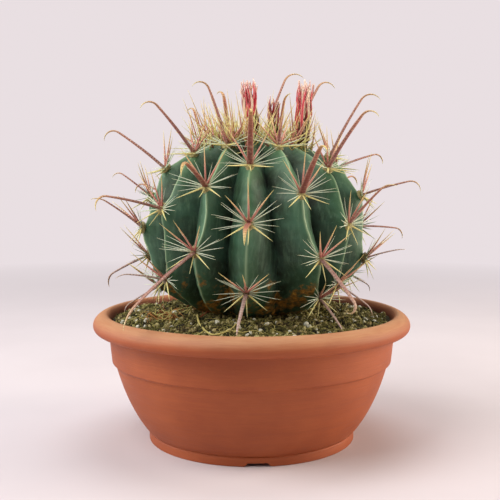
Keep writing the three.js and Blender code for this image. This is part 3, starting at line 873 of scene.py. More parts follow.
@dataclass
class Bowl:
    """The moulded bowl: foot ring with water slots, curved wall, step, band and rolled rim."""

    rim_radius: float = 125.0
    rim_top: float = 100.4
    rim_base: float = 86.5
    crest_radius: float = 117.0
    band_radius: float = 113.0
    step_radius: float = 108.0
    step_height: float = 61.5
    step_out: float = 2.6
    foot_radius: float = 82.0
    foot_height: float = 7.0
    foot_width: float = 6.0
    foot_recess: float = 3.5
    belly_out: float = 17.0
    belly_up: float = 20.0
    wall: float = 3.6
    notches: int = 4
    notch_width: float = 17.0
    notch_height: float = 2.5
    notch_turn: float = 3.0
    drain_radius: float = 5.0
    drain_circle: float = 48.0
    slot_edge: float = 1.2
    corner_radius: float = 0.7
    longest_edge: float = 3.0
    out_of_round: float = 0.25
    columns: int = 360

    def profile(self) -> Array:
        """Radius and height from the underside's middle, up the outside, over the rim and down the inside.

        Returns:
            Radius and height of each point, (n, 2).
        """
        floor_top = self.foot_recess + self.wall
        inner_start = self.foot_radius - self.wall
        belly = bezier([(self.foot_radius, self.foot_height),
                        (self.foot_radius + self.belly_out, self.foot_height + self.belly_up),
                        (self.step_radius, self.step_height)], 22)
        roll = bezier([(self.rim_radius - 4, self.rim_base), (self.rim_radius + 2, self.rim_base + 1.5),
                       (self.rim_radius + 2, self.rim_top - 3), (self.crest_radius, self.rim_top)], 16)
        lip = bezier([(self.crest_radius, self.rim_top), (self.crest_radius - 4, self.rim_top + 1),
                      (self.band_radius - self.wall + 1.5, self.rim_top - 3),
                      (self.band_radius - self.wall, self.rim_base)], 12)
        inner = bezier([(inner_start, floor_top),
                        (inner_start + self.belly_out, floor_top + self.belly_up),
                        (self.step_radius - self.wall, self.step_height)], 16)[::-1]
        foot = [(0.05, self.foot_recess), (self.foot_radius - self.foot_width, self.foot_recess),
                (self.foot_radius - self.foot_width, 0), (self.foot_radius, 0),
                (self.foot_radius, self.foot_height - 0.6), (self.foot_radius - 0.8, self.foot_height)]
        step = [(self.step_radius + self.step_out, self.step_height + 1.5),
                (self.band_radius, self.rim_base)]
        whole = np.concatenate([foot, belly[1:], step, roll, lip[1:], inner, [(0.05, floor_top)]])
        return resampled(softened(whole, self.corner_radius), self.longest_edge)

    def surface(self) -> Shell:
        """The profile turned around Z, its foot lifted at the slots.

        The lift is the slot's height within half its width along the foot, fading to nothing at the
        foot's top.

        Returns:
            The closed shell, with attributes rim and inside.
        """
        profile = self.profile()
        turn = np.arange(self.columns) * 360 / self.columns
        off_slot = (turn - self.notch_turn + 45) % (360 / self.notches) - 45
        arc = np.abs(np.radians(off_slot)) * self.foot_radius
        slot = np.clip((self.notch_width / 2 - arc) / self.slot_edge + 0.5, 0, 1)
        radius = np.broadcast_to(profile[:, :1], (len(profile), self.columns))
        height = np.broadcast_to(profile[:, 1:], radius.shape)
        near_wall = radius > self.foot_radius - 8
        ring = np.clip((self.foot_height - height) / self.foot_height, 0, 1) * near_wall
        outside = np.arange(len(profile))[:, None] < len(profile) // 2
        height = height + np.where(outside, ring * slot * self.notch_height, 0)
        rings = outward(turn)[None] * radius[..., None]
        rings = rings + height[..., None] * UP
        oval = self.out_of_round * np.sin(2 * np.radians(turn) + 0.7)
        rings = rings * (1 + (oval / self.rim_radius)[None, :, None] * np.array([1, 1, 0.0]))
        shell = capped_rings(rings[None])
        place = shell.points
        distance = np.hypot(place[:, 0], place[:, 1])
        rim = np.clip((place[:, 2] - self.rim_base - 5) / 7, 0, 1) * np.clip((distance - 111) / 4, 0, 1)
        level = np.repeat(np.arange(len(profile)), self.columns)
        highest = int(np.argmax(profile[:, 1]))
        inside = np.concatenate([np.clip((level - highest - 3) / 5, 0, 1), [0, 1]])
        return shell.painted(rim=rim, inside=inside)

    def build(self) -> bpy.types.Object:
        """Makes the bowl and drills its drain holes.

        Returns:
            The bowl.
        """
        bowl = piece("terracotta_bowl", [(self.surface(), TerracottaPlastic())], ("pot_bowl",), 40)
        turns = self.notch_turn - 45 + 90 * np.arange(4)
        heights = np.linspace(self.foot_recess - 4, self.foot_recess + self.wall + 4, 3)
        middles = outward(turns) * self.drain_circle
        paths = middles[:, None, :] + heights[None, :, None] * UP
        half = np.full(paths.shape[:2], self.drain_radius)
        rods = tubes(paths, half, half, sideways(turns), 32)
        drill = piece("drill", [(rods, TerracottaPlastic())])
        cut = bowl.modifiers.new("drain_holes", "BOOLEAN")
        cut.object = drill
        cut.solver = "EXACT"
        bpy.context.view_layer.update()
        evaluated = bowl.evaluated_get(bpy.context.evaluated_depsgraph_get())
        mesh = bpy.data.meshes.new_from_object(evaluated, preserve_all_data_layers=True,
                                               depsgraph=bpy.context.evaluated_depsgraph_get())
        bowl.modifiers.remove(cut)
        bowl.data = mesh
        bpy.data.objects.remove(drill)
        return bowl


# ---------------------------------------------------------------- stem

@dataclass(frozen=True)
class Areole:
    """One areole: its height on the rib and its hooked spine."""

    height: float
    lift: float
    swing: float
    length: float
    curl: float


@dataclass(frozen=True)
class Rib:
    """One rib, from the crown down.

    Args:
        turn: turn of its crest above lean_start.
        lean: how far the crest turns sideways towards the base.
        girth: its crest's radius as a share of the stem's outline.
        power: sharpness of its crest; 1 is a keel and 2 is round.
        sway: how far its crest bows sideways between areoles, towards greater turns.
        areoles: its areoles from the top.
    """

    turn: float
    lean: float
    girth: float
    power: float
    sway: float
    areoles: tuple[Areole, ...]


def rib(turn: float, lean: float, girth: float, power: float, sway: float,
        *areoles: tuple[float, float, float, float, float]) -> Rib:
    """Writes one rib in a row: its own numbers, then its areoles' numbers."""
    return Rib(turn, lean, girth, power, sway, tuple(Areole(*numbers) for numbers in areoles))


RIBS = (
    rib(-132, 0, 0.97, 1.25, 1.5, (226, 70, -12, 52, 110), (186, 24, 6, 56, 100), (140, -16, -8, 50, 90)),
    rib(-102, 0, 0.955, 1.2, -1.5, (190, 42, 1, 41, 100), (143, -20, -15, 54, 84)),
    rib(-71, -6, 0.95, 1.2, 1, (212, 42, -23, 62, 125), (168, 41, -3, 46, 50), (122, -24, 0, 36, 60)),
    rib(-48.5, -3, 0.965, 1.2, 1.6, (223, 54, -14, 62, 115), (183, 17, -8, 60, 120), (131, 14, -28, 38, 40)),
    rib(-23, -8, 0.99, 1.2, 3, (229, 76, -51, 60, 125), (199, 25, 8, 60, 110), (154, -34, -37, 75, 34)),
    rib(-1, -2, 1, 1.5, -1.2, (214, 52, 2, 60, 74), (174, 2, -2, 54, 80), (125, -38, -12, 38, 25)),
    rib(24, 18, 1, 1.25, -1.5, (228, 84, 12, 44, 80), (194, 45, -8, 62, 85), (149, -37, 10, 56, 165),
        (118, -36, -2, 35, 15)),
    rib(50, 0, 1, 1.2, 2.2, (212, 57, 2, 64, 110), (172, 50, 7, 49, 60), (128, -26, 14, 36, 50)),
    rib(77, 0, 1, 1.2, 1, (221, 66, 5, 68, 115), (192, 21, 1, 51, 105), (144, 20, 10, 32, 10)),
    rib(107, 0, 1, 1.25, -1.4, (213, 22, 7, 52, 110), (166, 1, 3, 48, 95), (128, -24, -3, 28, 70)),
    rib(137, 0, 1, 1.2, 1.8, (229, 67, -20, 80, 115), (191, 26, -4, 58, 105), (147, -20, 10, 54, 80)),
    rib(167, 0, 1, 1.3, -1.6, (231, 75, -60, 80, 110), (212, 48, 4, 52, 95), (170, 4, 2, 54, 85),
        (127, -28, 6, 40, 60)),
    rib(198, 0, 0.99, 1.2, 1.4, (224, 80, 10, 70, 105), (190, 24, -10, 56, 100), (146, -22, 2, 52, 85)),
)


@dataclass
class Stem:
    """The ribbed barrel: an outline along the crests, pushed in between the ribs."""

    waist_height: float = 160.0
    waist_radius: float = 88.0
    crown_rise: float = 76.0
    crown_fullness: float = 2.3
    crown_back: float = 12.0
    base_drop: float = 68.0
    root_start: float = 101.0
    root_end: float = 64.0
    root_tip_radius: float = 5.0
    valley_depth: float = 0.2
    crown_cut_from: float = 190.0
    crown_cut_over: float = 40.0
    crown_cut_more: float = 0.9
    chin: float = 3.8
    chin_length: float = 10.0
    lean_start: float = 195.0
    lean_length: float = 75.0
    underside_tilt: float = 0.35
    crest_crowding: float = 0.6
    columns_per_rib: int = 28
    rings: int = 190

    def rib_turn(self, row: Rib, height: Array | float) -> Array:
        """Turn of a rib's crest: its own turn, its lean below lean_start, and a half wave between areoles.

        Args:
            row: the rib.
            height: one height or many, in millimetres.

        Returns:
            The turn in degrees.
        """
        height = np.asarray(height, float)
        fall = np.clip((self.lean_start - height) / self.lean_length, 0, 1.2)
        heights = np.array([a.height for a in row.areoles])[::-1]
        span = np.interp(height, heights, np.arange(len(heights)))
        bow = np.sin(np.pi * (span % 1)) * np.degrees(row.sway / self.waist_radius)
        return row.turn + row.lean * fall ** 1.6 + bow

    def crest_radius(self, height: Array | float) -> Array:
        """Crest outline: a full superellipse above the waist and an ellipse below it.

        Args:
            height: one height or many, in millimetres.

        Returns:
            The radius in millimetres.
        """
        rise = np.asarray(height, float) - self.waist_height
        share = np.where(rise > 0, rise / self.crown_rise, -rise / self.base_drop)
        power = np.where(rise > 0, self.crown_fullness, 2.0)
        return self.waist_radius * np.clip(1 - share ** power, 0, 1) ** (1 / power)

    def crown_shift(self, height: Array | float) -> Array:
        """How far behind the bowl's axis the stem's middle lies at a height."""
        rise = (np.asarray(height, float) - self.waist_height) / self.crown_rise
        return self.crown_back * np.clip(rise, 0, 1) ** 2

    def crown_level(self, reach: Array | float) -> Array | float:
        """Height of the crest outline at a distance from the crown's middle."""
        share = 1 - (reach / self.waist_radius) ** self.crown_fullness
        return self.waist_height + self.crown_rise * share ** (1 / self.crown_fullness)

    def swelling(self, row: Rib, height: Array | float) -> Array:
        """Chins: one rounded swelling on the crest just under each areole.

        Args:
            row: the rib.
            height: one height or many, in millimetres.

        Returns:
            How far it stands out, in millimetres.
        """
        height = np.asarray(height, float)
        below = (height - a.height + 4 for a in row.areoles)
        return sum(self.chin * np.exp(-(drop / self.chin_length) ** 2) for drop in below)

    def frame_at(self, row: Rib, height: float) -> tuple[float, Array, Array, Array, Array]:
        """Where an areole sits.

        Args:
            row: the rib.
            height: the areole's height.

        Returns:
            Its turn, spot, and unit vectors sideways, up along the rib and out of the skin.
        """
        turn = float(self.rib_turn(row, height))
        radius = float(self.crest_radius(height) * row.girth + self.swelling(row, height))
        spot = outward(turn) * radius + np.array([0, float(self.crown_shift(height)), height])
        side = sideways(turn)
        slope = float(self.crest_radius(height + 2) - self.crest_radius(height - 2))
        slope = slope * self.underside_tilt if slope > 0 else slope
        along = outward(turn) * slope + np.array([0, 0, 4.0])
        along /= np.linalg.norm(along)
        return turn, spot, side, along, -np.cross(along, side)

    def outline(self) -> Array:
        """Crest radius and height from the root tip to the crown.

        Returns:
            Radius and height of each ring, (n, 2).
        """
        drop = self.waist_height - self.root_start
        neck_radius = self.waist_radius * math.sqrt(1 - (drop / self.base_drop) ** 2)
        neck = bezier([(self.root_tip_radius, self.root_end),
                       (self.root_tip_radius + 11, self.root_start - 5),
                       (neck_radius, self.root_start)], 14)[:-1]
        low = math.asin(drop / self.base_drop)
        below = np.linspace(low, 0, int(self.rings * 0.42), endpoint=False)
        above = np.linspace(0, np.pi / 2, self.rings - len(below))[:-1]
        bulge = 2 / self.crown_fullness
        lower = np.stack([self.waist_radius * np.cos(below),
                          self.waist_height - self.base_drop * np.sin(below)], -1)
        upper = np.stack([self.waist_radius * np.cos(above) ** bulge,
                          self.waist_height + self.crown_rise * np.sin(above) ** bulge], -1)
        return np.concatenate([neck, lower, upper])

    def surface(self) -> Shell:
        """The stem's skin.

        Radius is the crest outline times the ribs' girth, less a valley that grows as the distance from the
        crest to the rib's power, plus the chins near the crest and a little unevenness.

        Returns:
            The closed shell, with attributes crest, height and edge.
        """
        outline = self.outline()
        height = outline[:, 1:]
        phase = np.arange(len(RIBS) * self.columns_per_rib) / self.columns_per_rib
        index = phase.astype(int)
        even = phase - index
        share = even - self.crest_crowding * np.sin(2 * np.pi * even) / (2 * np.pi)
        crest_turns = np.stack([self.rib_turn(row, outline[:, 1]) for row in RIBS], 1)
        ahead = np.roll(crest_turns, -1, 1)
        gap = (ahead - crest_turns) % 360
        turn = crest_turns[:, index] + gap[:, index] * share
        to_valley = 1 - np.abs(2 * share - 1)
        chins = np.stack([self.swelling(row, outline[:, 1]) for row in RIBS], 1)
        nearest = (index + (share >= 0.5)) % len(RIBS)
        ribbed = np.clip((height - self.root_start + 4) / 14, 0, 1)
        power = np.array([row.power for row in RIBS])[nearest]
        girths = np.array([row.girth for row in RIBS])
        blend = share * share * (3 - 2 * share)
        girth = girths[index] * (1 - blend) + girths[(index + 1) % len(RIBS)] * blend
        crowned = np.clip((height - self.crown_cut_from) / self.crown_cut_over, 0, 1)
        cut = 1 + self.crown_cut_more * crowned
        valley = self.valley_depth * cut * outline[:, :1] * ribbed * to_valley ** power
        swell = chins[:, nearest] * ribbed * (1 - to_valley) ** 1.3
        radius = outline[:, :1] * (1 + (girth - 1) * ribbed) - valley + swell
        rings = outward(turn) * radius[..., None]
        rings[..., 1] += self.crown_shift(height)
        rings[..., 2] += height
        uneven = 0.5 * waves(rings, 24, 3) + 0.22 * waves(rings, 8, 4)
        rings[..., :2] *= (1 + uneven * ribbed / np.maximum(radius, 12))[..., None]
        top = np.array([[0, self.crown_back, self.waist_height + self.crown_rise]])
        bottom = np.array([[0, 0, self.root_end]])
        shell = capped_rings(rings[None], np.stack([bottom, top], 1))
        crest = np.broadcast_to(1 - to_valley, turn.shape)
        # edge marks the keels' crest line, for the skin's painted highlight
        keel = np.clip((2 - power) / 0.75, 0, 1)
        edge = np.broadcast_to(np.clip((crest - 0.93) / 0.07, 0, 1) ** 1.5 * keel, turn.shape)
        stem_share = (height - self.root_start) / (self.waist_height + self.crown_rise - self.root_start)
        tall = np.broadcast_to(np.clip(stem_share, 0, 1), turn.shape)
        return shell.painted(crest=np.append(crest.ravel(), [0, 1]),
                             height=np.append(tall.ravel(), [0, 1]),
                             edge=np.append(edge.ravel(), [0, 0]))

    def build(self) -> bpy.types.Object:
        """Makes the stem."""
        return piece("cactus_body", [(self.surface(), CactusSkin())], ("cactus_stem",), 28)


# ---------------------------------------------------------------- spines

class SpineKind(Enum):
    """The kinds of spine, as the number that the horn finish reads."""

    SIDE = 0.0
    STRAIGHT = 0.5
    HOOKED = 1.0


@dataclass(frozen=True)
class StraightSpine:
    """A straight spine: clock angle from the crown's side, lift off the skin, length and base radius."""

    clock: float
    lift: float
    length: float
    radius: float
    kind: SpineKind = SpineKind.STRAIGHT


@dataclass
class SpineCluster:
    """Everything that grows from one areole: felt, the hooked spine, straight spines and side spines."""

    stem: Stem
    row: Rib
    areole: Areole
    seed: int
    pad_side: float = 3.6
    pad_along: float = 5.0
    pad_thick: float = 2.6
    hook_wide: float = 2.3
    hook_thick: float = 1.0
    hook_sag: float = 12.0
    curl_from: float = 0.74
    hook_rings: int = 34
    ring_pitch: float = 2.2
    hairs: int = 70

    STRAIGHTS: ClassVar[tuple[StraightSpine, ...]] = (
        StraightSpine(-38, 32, 34, 0.8), StraightSpine(0, 36, 33, 0.75), StraightSpine(38, 32, 32, 0.8),
        StraightSpine(-125, 20, 23, 0.7), StraightSpine(125, 20, 22, 0.7), StraightSpine(180, 24, 17, 0.5),
        StraightSpine(-82, 14, 25, 0.36, SpineKind.SIDE), StraightSpine(82, 14, 25, 0.36, SpineKind.SIDE),
    )
    FINE: ClassVar[tuple[StraightSpine, ...]] = tuple(
        StraightSpine(side * clock, lift, length, 0.33, SpineKind.SIDE)
        for side in (-1, 1)
        for clock, lift, length in ((24, 26, 19), (52, 20, 24), (62, 17, 26), (72, 15, 26), (93, 14, 25),
                                    (104, 15, 22))
    )

    def __post_init__(self) -> None:
        """Finds the areole's frame and its age from its height."""
        self.rng = np.random.default_rng(self.seed)
        found = self.stem.frame_at(self.row, self.areole.height)
        self.turn, self.spot, self.side, self.along, self.out = found
        self.start = self.spot + self.out
        self.age = float(np.clip((175 - self.areole.height) / 45, 0, 1))

    def felt(self) -> Shell:
        """The pad, an oval lump on the skin, with short curved hairs standing over it.

        Returns:
            The shell of the pad and its hairs.
        """
        unit = ball(10, 18)
        size = np.array([self.pad_side, self.pad_along, self.pad_thick]) * 0.92
        basis = np.stack([self.side, self.along, self.out])
        local = unit * size * (1 + 0.12 * waves(unit * 10, 9, self.seed)[..., None])
        poles = np.array([[0, 0, -size[2]], [0, 0, size[2]]])
        seat = self.spot + 0.4 * self.out
        pad = capped_rings((local @ basis + seat)[None], (poles @ basis + seat)[None])
        way = self.rng.normal(size=(self.hairs, 3)) * (1, 1, 0.5)
        way[:, 2] = np.abs(way[:, 2]) + 0.35
        way /= np.linalg.norm(way, axis=1, keepdims=True)
        length = self.rng.uniform(1.2, 2.6, (self.hairs, 1))
        droop = self.rng.normal(size=(self.hairs, 3)) * 0.5
        share = np.linspace(0, 1, 4)[None, :, None]
        roots = way * size * 0.85
        paths = roots[:, None] + way[:, None] * length[:, None] * share + droop[:, None] * share ** 2
        half = np.broadcast_to(0.14 * (1 - 0.8 * np.linspace(0, 1, 4)), paths.shape[:2])
        fluff = tubes(paths @ basis + seat, half, half, self.rng.normal(size=(self.hairs, 3)), 3)
        return together([pad, fluff]).painted(age=self.age)

    def hook_path(self) -> Array:
        """The hooked spine's middle line.

        In its upright plane the direction starts at lift, sags evenly, and curls over past curl_from.

        Returns:
            Points from base to tip, (hook_rings, 3).
        """
        count = 240
        share = (np.arange(count) + 0.5) / count
        curled = np.clip((share - self.curl_from) / (1 - self.curl_from), 0, 1)
        angle = np.radians(self.areole.lift - self.hook_sag * share - self.areole.curl * curled)
        heading = outward(self.turn + self.areole.swing)
        steps = np.cos(angle)[:, None] * heading + np.sin(angle)[:, None] * UP
        line = np.concatenate([np.zeros((1, 3)), np.cumsum(steps, 0) * self.areole.length / count])
        goal = 1 - (1 - np.linspace(0, 1, self.hook_rings)) ** 1.25
        return self.start + line[np.round(goal * count).astype(int)]

    def hook(self) -> Shell:
        """The hooked spine: flat, ringed, tapering to its curled tip.

        Returns:
            The shell, with the attributes that the horn finish reads.
        """
        path = self.hook_path()
        share = 1 - (1 - np.linspace(0, 1, self.hook_rings)) ** 1.25
        distance = share * self.areole.length
        size = np.clip(self.areole.length / 58, 0.6, 1.1)
        taper = (1 - share ** 8) * (1 - 0.4 * share) * size
        ridged = 1 + 0.05 * np.sin(distance * 2 * np.pi / self.ring_pitch)
        wide = self.hook_wide * taper * ridged + 0.06
        thick = self.hook_thick * taper * ridged + 0.06
        side = sideways(self.turn + self.areole.swing)
        shell = tubes(path[None], wide[None], thick[None], side[None], 10)
        ring = spread((distance * 2 * np.pi / self.ring_pitch)[None], 10)
        return shell.painted(kind=SpineKind.HOOKED.value, ring=ring, tint=0.2, age=self.age,
                             along=spread(share[None], 10))

    def needles(self, spines: tuple[StraightSpine, ...], rings: int, sides: int, stray: float) -> Shell:
        """Straight spines of one areole, each a slender cone with a slight bow.

        Args:
            spines: the spines to grow.
            rings: points along each.
            sides: points around each.
            stray: how far their angles and lengths vary.

        Returns:
            The shell of all of them.
        """
        rng = self.rng
        clock = np.radians([s.clock for s in spines] + rng.normal(0, 5 * stray, len(spines)))
        lift = np.radians([s.lift for s in spines] + rng.normal(0, 5 * stray, len(spines)))
        length = np.array([s.length for s in spines])
        length = length * (1 + rng.uniform(-0.14, 0.08, len(spines)) * stray)
        flat = np.cos(clock)[:, None] * self.along + np.sin(clock)[:, None] * self.side
        way = np.cos(lift)[:, None] * flat + np.sin(lift)[:, None] * self.out
        share = np.linspace(0, 1, rings)
        bow = rng.normal(0, 0.035, (len(spines), 3)) * length[:, None]
        paths = self.start + way[:, None] * length[:, None, None] * share[None, :, None]
        paths = paths + bow[:, None] * (share * share)[None, :, None]
        radius = np.array([s.radius for s in spines])[:, None] * (1 - share ** 1.6)[None] + 0.05
        shell = tubes(paths, radius, radius, np.cross(way, self.out) + 1e-6, sides)
        kinds = np.repeat(np.array([s.kind.value for s in spines])[:, None], rings, 1)
        tints = np.repeat(self.tints(clock, rng)[:, None], rings, 1)
        distance = length[:, None] * share[None] * 2 * np.pi / self.ring_pitch
        return shell.painted(kind=spread(kinds, sides), tint=spread(tints, sides),
                             ring=spread(distance, sides), age=self.age)

    @staticmethod
    def tints(clock: Array, rng: np.random.Generator) -> Array:
        """Upper spines are rosy and lower ones golden, with some of each mixed in."""
        return np.clip(0.5 - 0.45 * np.cos(clock) + rng.normal(0, 0.08, len(clock)), 0, 1)

    def build(self, name: str) -> bpy.types.Object:
        """Makes the cluster in place of its CAD node.

        Args:
            name: the CAD node's name.

        Returns:
            The cluster.
        """
        horn = together([self.hook(), self.needles(self.STRAIGHTS, 9, 6, 0.6),
                         self.needles(self.FINE, 7, 4, 1.0)])
        dressed = [(self.felt(), AreoleFelt()), (horn, SpineHorn())]
        return piece(f"visual_{name}", dressed, (name,))


# ---------------------------------------------------------------- crown

@dataclass
class CrownTuft:
    """The crown's wool and its dense young spines, criss-crossing over the growing point."""

    stem: Stem
    radius: float = 19.0
    height: float = 5.5
    spine_reach: float = 48.0
    hairs: int = 900
    golden: int = 330
    rosy: int = 70
    seed: int = 77

    def dome(self, reach: Array, turn: Array) -> Array:
        """Points on the crown's skin at a distance and turn from its middle.

        Args:
            reach: distances from the middle.
            turn: turns in degrees.

        Returns:
            The points, (n, 3).
        """
        height = self.stem.crown_level(reach)
        spot = outward(turn) * reach[:, None]
        return spot + np.stack([0 * height, 0 * height + self.stem.crown_back, height], -1)

    def wool(self, rng: np.random.Generator) -> Shell:
        """A low mound of wool with curved hairs all over it.

        Args:
            rng: the source of random numbers.

        Returns:
            The shell of the mound and its hairs.
        """
        top = np.array([[0, self.stem.crown_back, self.stem.waist_height + self.stem.crown_rise]])
        size = np.array([[self.radius, self.radius, self.height]]) * 0.9
        mound = lumps(top, size, 14, 40, rng, 0.08)
        turn = rng.uniform(0, 360, self.hairs)
        reach = self.radius * 1.15 * np.sqrt(rng.uniform(0, 1, self.hairs))
        lift = self.height * 0.85 * np.sqrt(np.clip(1 - (reach / self.radius) ** 2, 0, 1))
        roots = self.dome(reach, turn) + lift[:, None] * UP
        way = rng.normal(size=(self.hairs, 3)) * (1, 1, 0.5) + (0, 0, 0.7)
        way /= np.linalg.norm(way, axis=1, keepdims=True)
        share = np.linspace(0, 1, 5)[None, :, None]
        length = rng.uniform(2.0, 5.0, (self.hairs, 1, 1))
        droop = rng.normal(size=(self.hairs, 1, 3)) * 1.3
        paths = roots[:, None] + way[:, None] * length * share + droop * share ** 2
        half = np.broadcast_to(0.16 * (1 - 0.8 * share[0, :, 0]), paths.shape[:2])
        fluff = tubes(paths, half, half, rng.normal(size=(self.hairs, 3)), 3)
        return together([mound, fluff]).painted(age=0.1)

    def spines(self, rng: np.random.Generator, count: int, tint: float, thickness: float,
               lengths: tuple[float, float]) -> Shell:
        """Young spines that start on the ribs' ends at the crown and lean outwards, more so further out.

        Args:
            rng: the source of random numbers.
            count: number of spines.
            tint: 0 rosy to 1 golden.
            thickness: base radius.
            lengths: shortest and longest.

        Returns:
            The shell of all of them.
        """
        crests = np.array([row.turn for row in RIBS])
        turn = crests[rng.integers(0, len(crests), count)] + rng.normal(0, 5, count)
        reach = self.spine_reach * np.sqrt(rng.uniform(0.06, 1, count))
        roots = self.dome(reach, turn) - (0, 0, 0.8)
        tilt = np.radians(rng.normal(6, 24, count) + reach * 0.7)
        aim = turn + rng.normal(0, 50, count)
        way = np.sin(tilt)[:, None] * outward(aim) + np.cos(tilt)[:, None] * UP
        share = np.linspace(0, 1, 7)
        length = rng.uniform(*lengths, count)
        bow = rng.normal(0, 0.07, (count, 3)) * length[:, None]
        paths = roots[:, None] + way[:, None] * length[:, None, None] * share[None, :, None]
        paths = paths + bow[:, None] * (share ** 2)[None, :, None]
        radius = thickness * (1 - share ** 1.5)[None] * np.ones((count, 1)) + 0.06
        shell = tubes(paths, radius, radius, rng.normal(size=(count, 3)), 5)
        tints = np.repeat(np.clip(rng.normal(tint, 0.12, count), 0, 1)[:, None], 7, 1)
        distance = length[:, None] * share[None] * 2.8
        return shell.painted(kind=SpineKind.STRAIGHT.value, tint=spread(tints, 5), ring=spread(distance, 5),
                             age=0.0)

    def build(self) -> bpy.types.Object:
        """Makes the tuft.

        Returns:
            The tuft.
        """
        rng = np.random.default_rng(self.seed)
        wool = self.wool(rng)
        horn = together([self.spines(rng, self.golden, 0.9, 0.38, (12, 33)),
                         self.spines(rng, self.rosy, 0.2, 0.7, (26, 42))])
        dressed = [(wool, AreoleFelt()), (horn, SpineHorn())]
        return piece("crown_wool_and_spines", dressed, ("crown_tuft",))


@dataclass
class WitheredBloom:
    """One withered bloom: a scaly tube with shrivelled, curling tepals."""

    name: str
    node: str
    stem: Stem
    turn: float
    reach: float
    height: float
    lean: float
    redness: float
    strips: int = 34
    radius: float = 5.2
    tube_share: float = 0.4
    seed: int = 1

    def tube(self, rng: np.random.Generator) -> Shell:
        """The floral tube: a profile that widens upwards, ribbed by waves, with little scales on it.

        Args:
            rng: the source of random numbers.

        Returns:
            The shell of the tube and its scales.
        """
        rows, columns = 22, 26
        share = np.linspace(0, 1, rows)[:, None]
        turn = np.arange(columns) * 360 / columns
        ribbed = 1 + 0.12 * np.cos(np.radians(5 * turn) + 3 * share)
        radius = self.radius * (0.62 + 0.3 * share) * ribbed
        rings = outward(turn)[None] * radius[..., None]
        rings = rings + (share * self.height * self.tube_share)[..., None] * UP
        rings = rings * (1 + 0.1 * waves(rings, 5, self.seed))[..., None]
        count = 22
        scale_turn = rng.uniform(0, 360, count)
        level = rng.uniform(0.05, 0.36, count) * self.height
        share = np.linspace(0, 1, 6)
        out = outward(scale_turn)
        paths = out[:, None] * (self.radius * 0.8 + 1.6 * share ** 2)[None, :, None]
        paths = paths + (level[:, None] + 5.5 * share[None])[..., None] * UP
        wide = np.broadcast_to(1.3 * (1 - share ** 2) + 0.1, paths.shape[:2])
        scales = tubes(paths, wide, 0.25 * wide / 1.4 + 0.05, sideways(scale_turn), 6)
        return together([capped_rings(rings[None]), scales])

    def tepals(self, rng: np.random.Generator) -> Shell:
        """Strips that rise side by side from the tube to a ragged top.

        Each middle line climbs while its distance from the axis swells a little and flares at the top, its
        turn wanders, and two small waves shake it.

        Args:
            rng: the source of random numbers.

        Returns:
            The shell of all strips.
        """
        count, steps = self.strips, 26
        share = np.linspace(0, 1, steps)[None, :]
        turn = np.linspace(0, 360, count, endpoint=False)[:, None] + rng.normal(0, 14, (count, 1))
        tall = self.height * rng.uniform(0.8, 1.0, (count, 1))
        start = self.height * 0.14
        level = start + (tall - start) * share
        belly = rng.uniform(0.35, 1.15, (count, 1)) * self.radius
        flare = rng.normal(1.7, 1.3, (count, 1)) * self.radius / 5.2
        reach = belly * (0.8 + 0.12 * np.sin(np.pi * share)) + flare * share ** 3
        sway = share * rng.uniform(1, 4, (count, 1)) + rng.uniform(0, 6, (count, 1))
        wander = turn + 30 * np.sin(sway) * share
        paths = outward(wander) * reach[..., None]
        paths[..., 2] = level
        for axis in (0, 1):
            wave = share * rng.uniform(5, 12, (count, 1)) + rng.uniform(0, 6, (count, 1))
            paths[..., axis] += 0.7 * np.sin(wave)
        wide = rng.uniform(0.5, 1.5, (count, 1)) * np.sin(np.pi * (0.14 + 0.78 * share)) ** 0.5
        thick = 0.28 + 0.12 * np.sin(share * 40 + turn)
        shell = tubes(paths, wide, thick, sideways(turn[:, 0] + rng.normal(0, 30, count)), 10, 0.35)
        pale = rng.uniform(0, 1, (count, 1)) < 0.3
        tint = np.clip(np.where(pale, 0.93, rng.normal(self.redness, 0.16, (count, 1))), 0.04, 1)
        return shell.painted(tint=spread(np.repeat(tint, steps, 1), 10))

    def build(self) -> bpy.types.Object:
        """Makes the bloom, leans it about Y and seats it on the crown.

        Returns:
            The bloom.
        """
        rng = np.random.default_rng(self.seed)
        parts = [(self.tube(rng), FloralHusk()), (self.tepals(rng), DryTepal())]
        cosine, sine = math.cos(math.radians(self.lean)), math.sin(math.radians(self.lean))
        lean = np.array([[cosine, 0, sine], [0, 1, 0], [-sine, 0, cosine]])
        seat = self.stem.crown_level(self.reach) - 2
        foot = outward(self.turn) * self.reach + (0, self.stem.crown_back, seat)
        for shell, _ in parts:
            shell.points = shell.points @ lean.T + foot
        return piece(self.name, parts, (self.node,))


# ---------------------------------------------------------------- soil

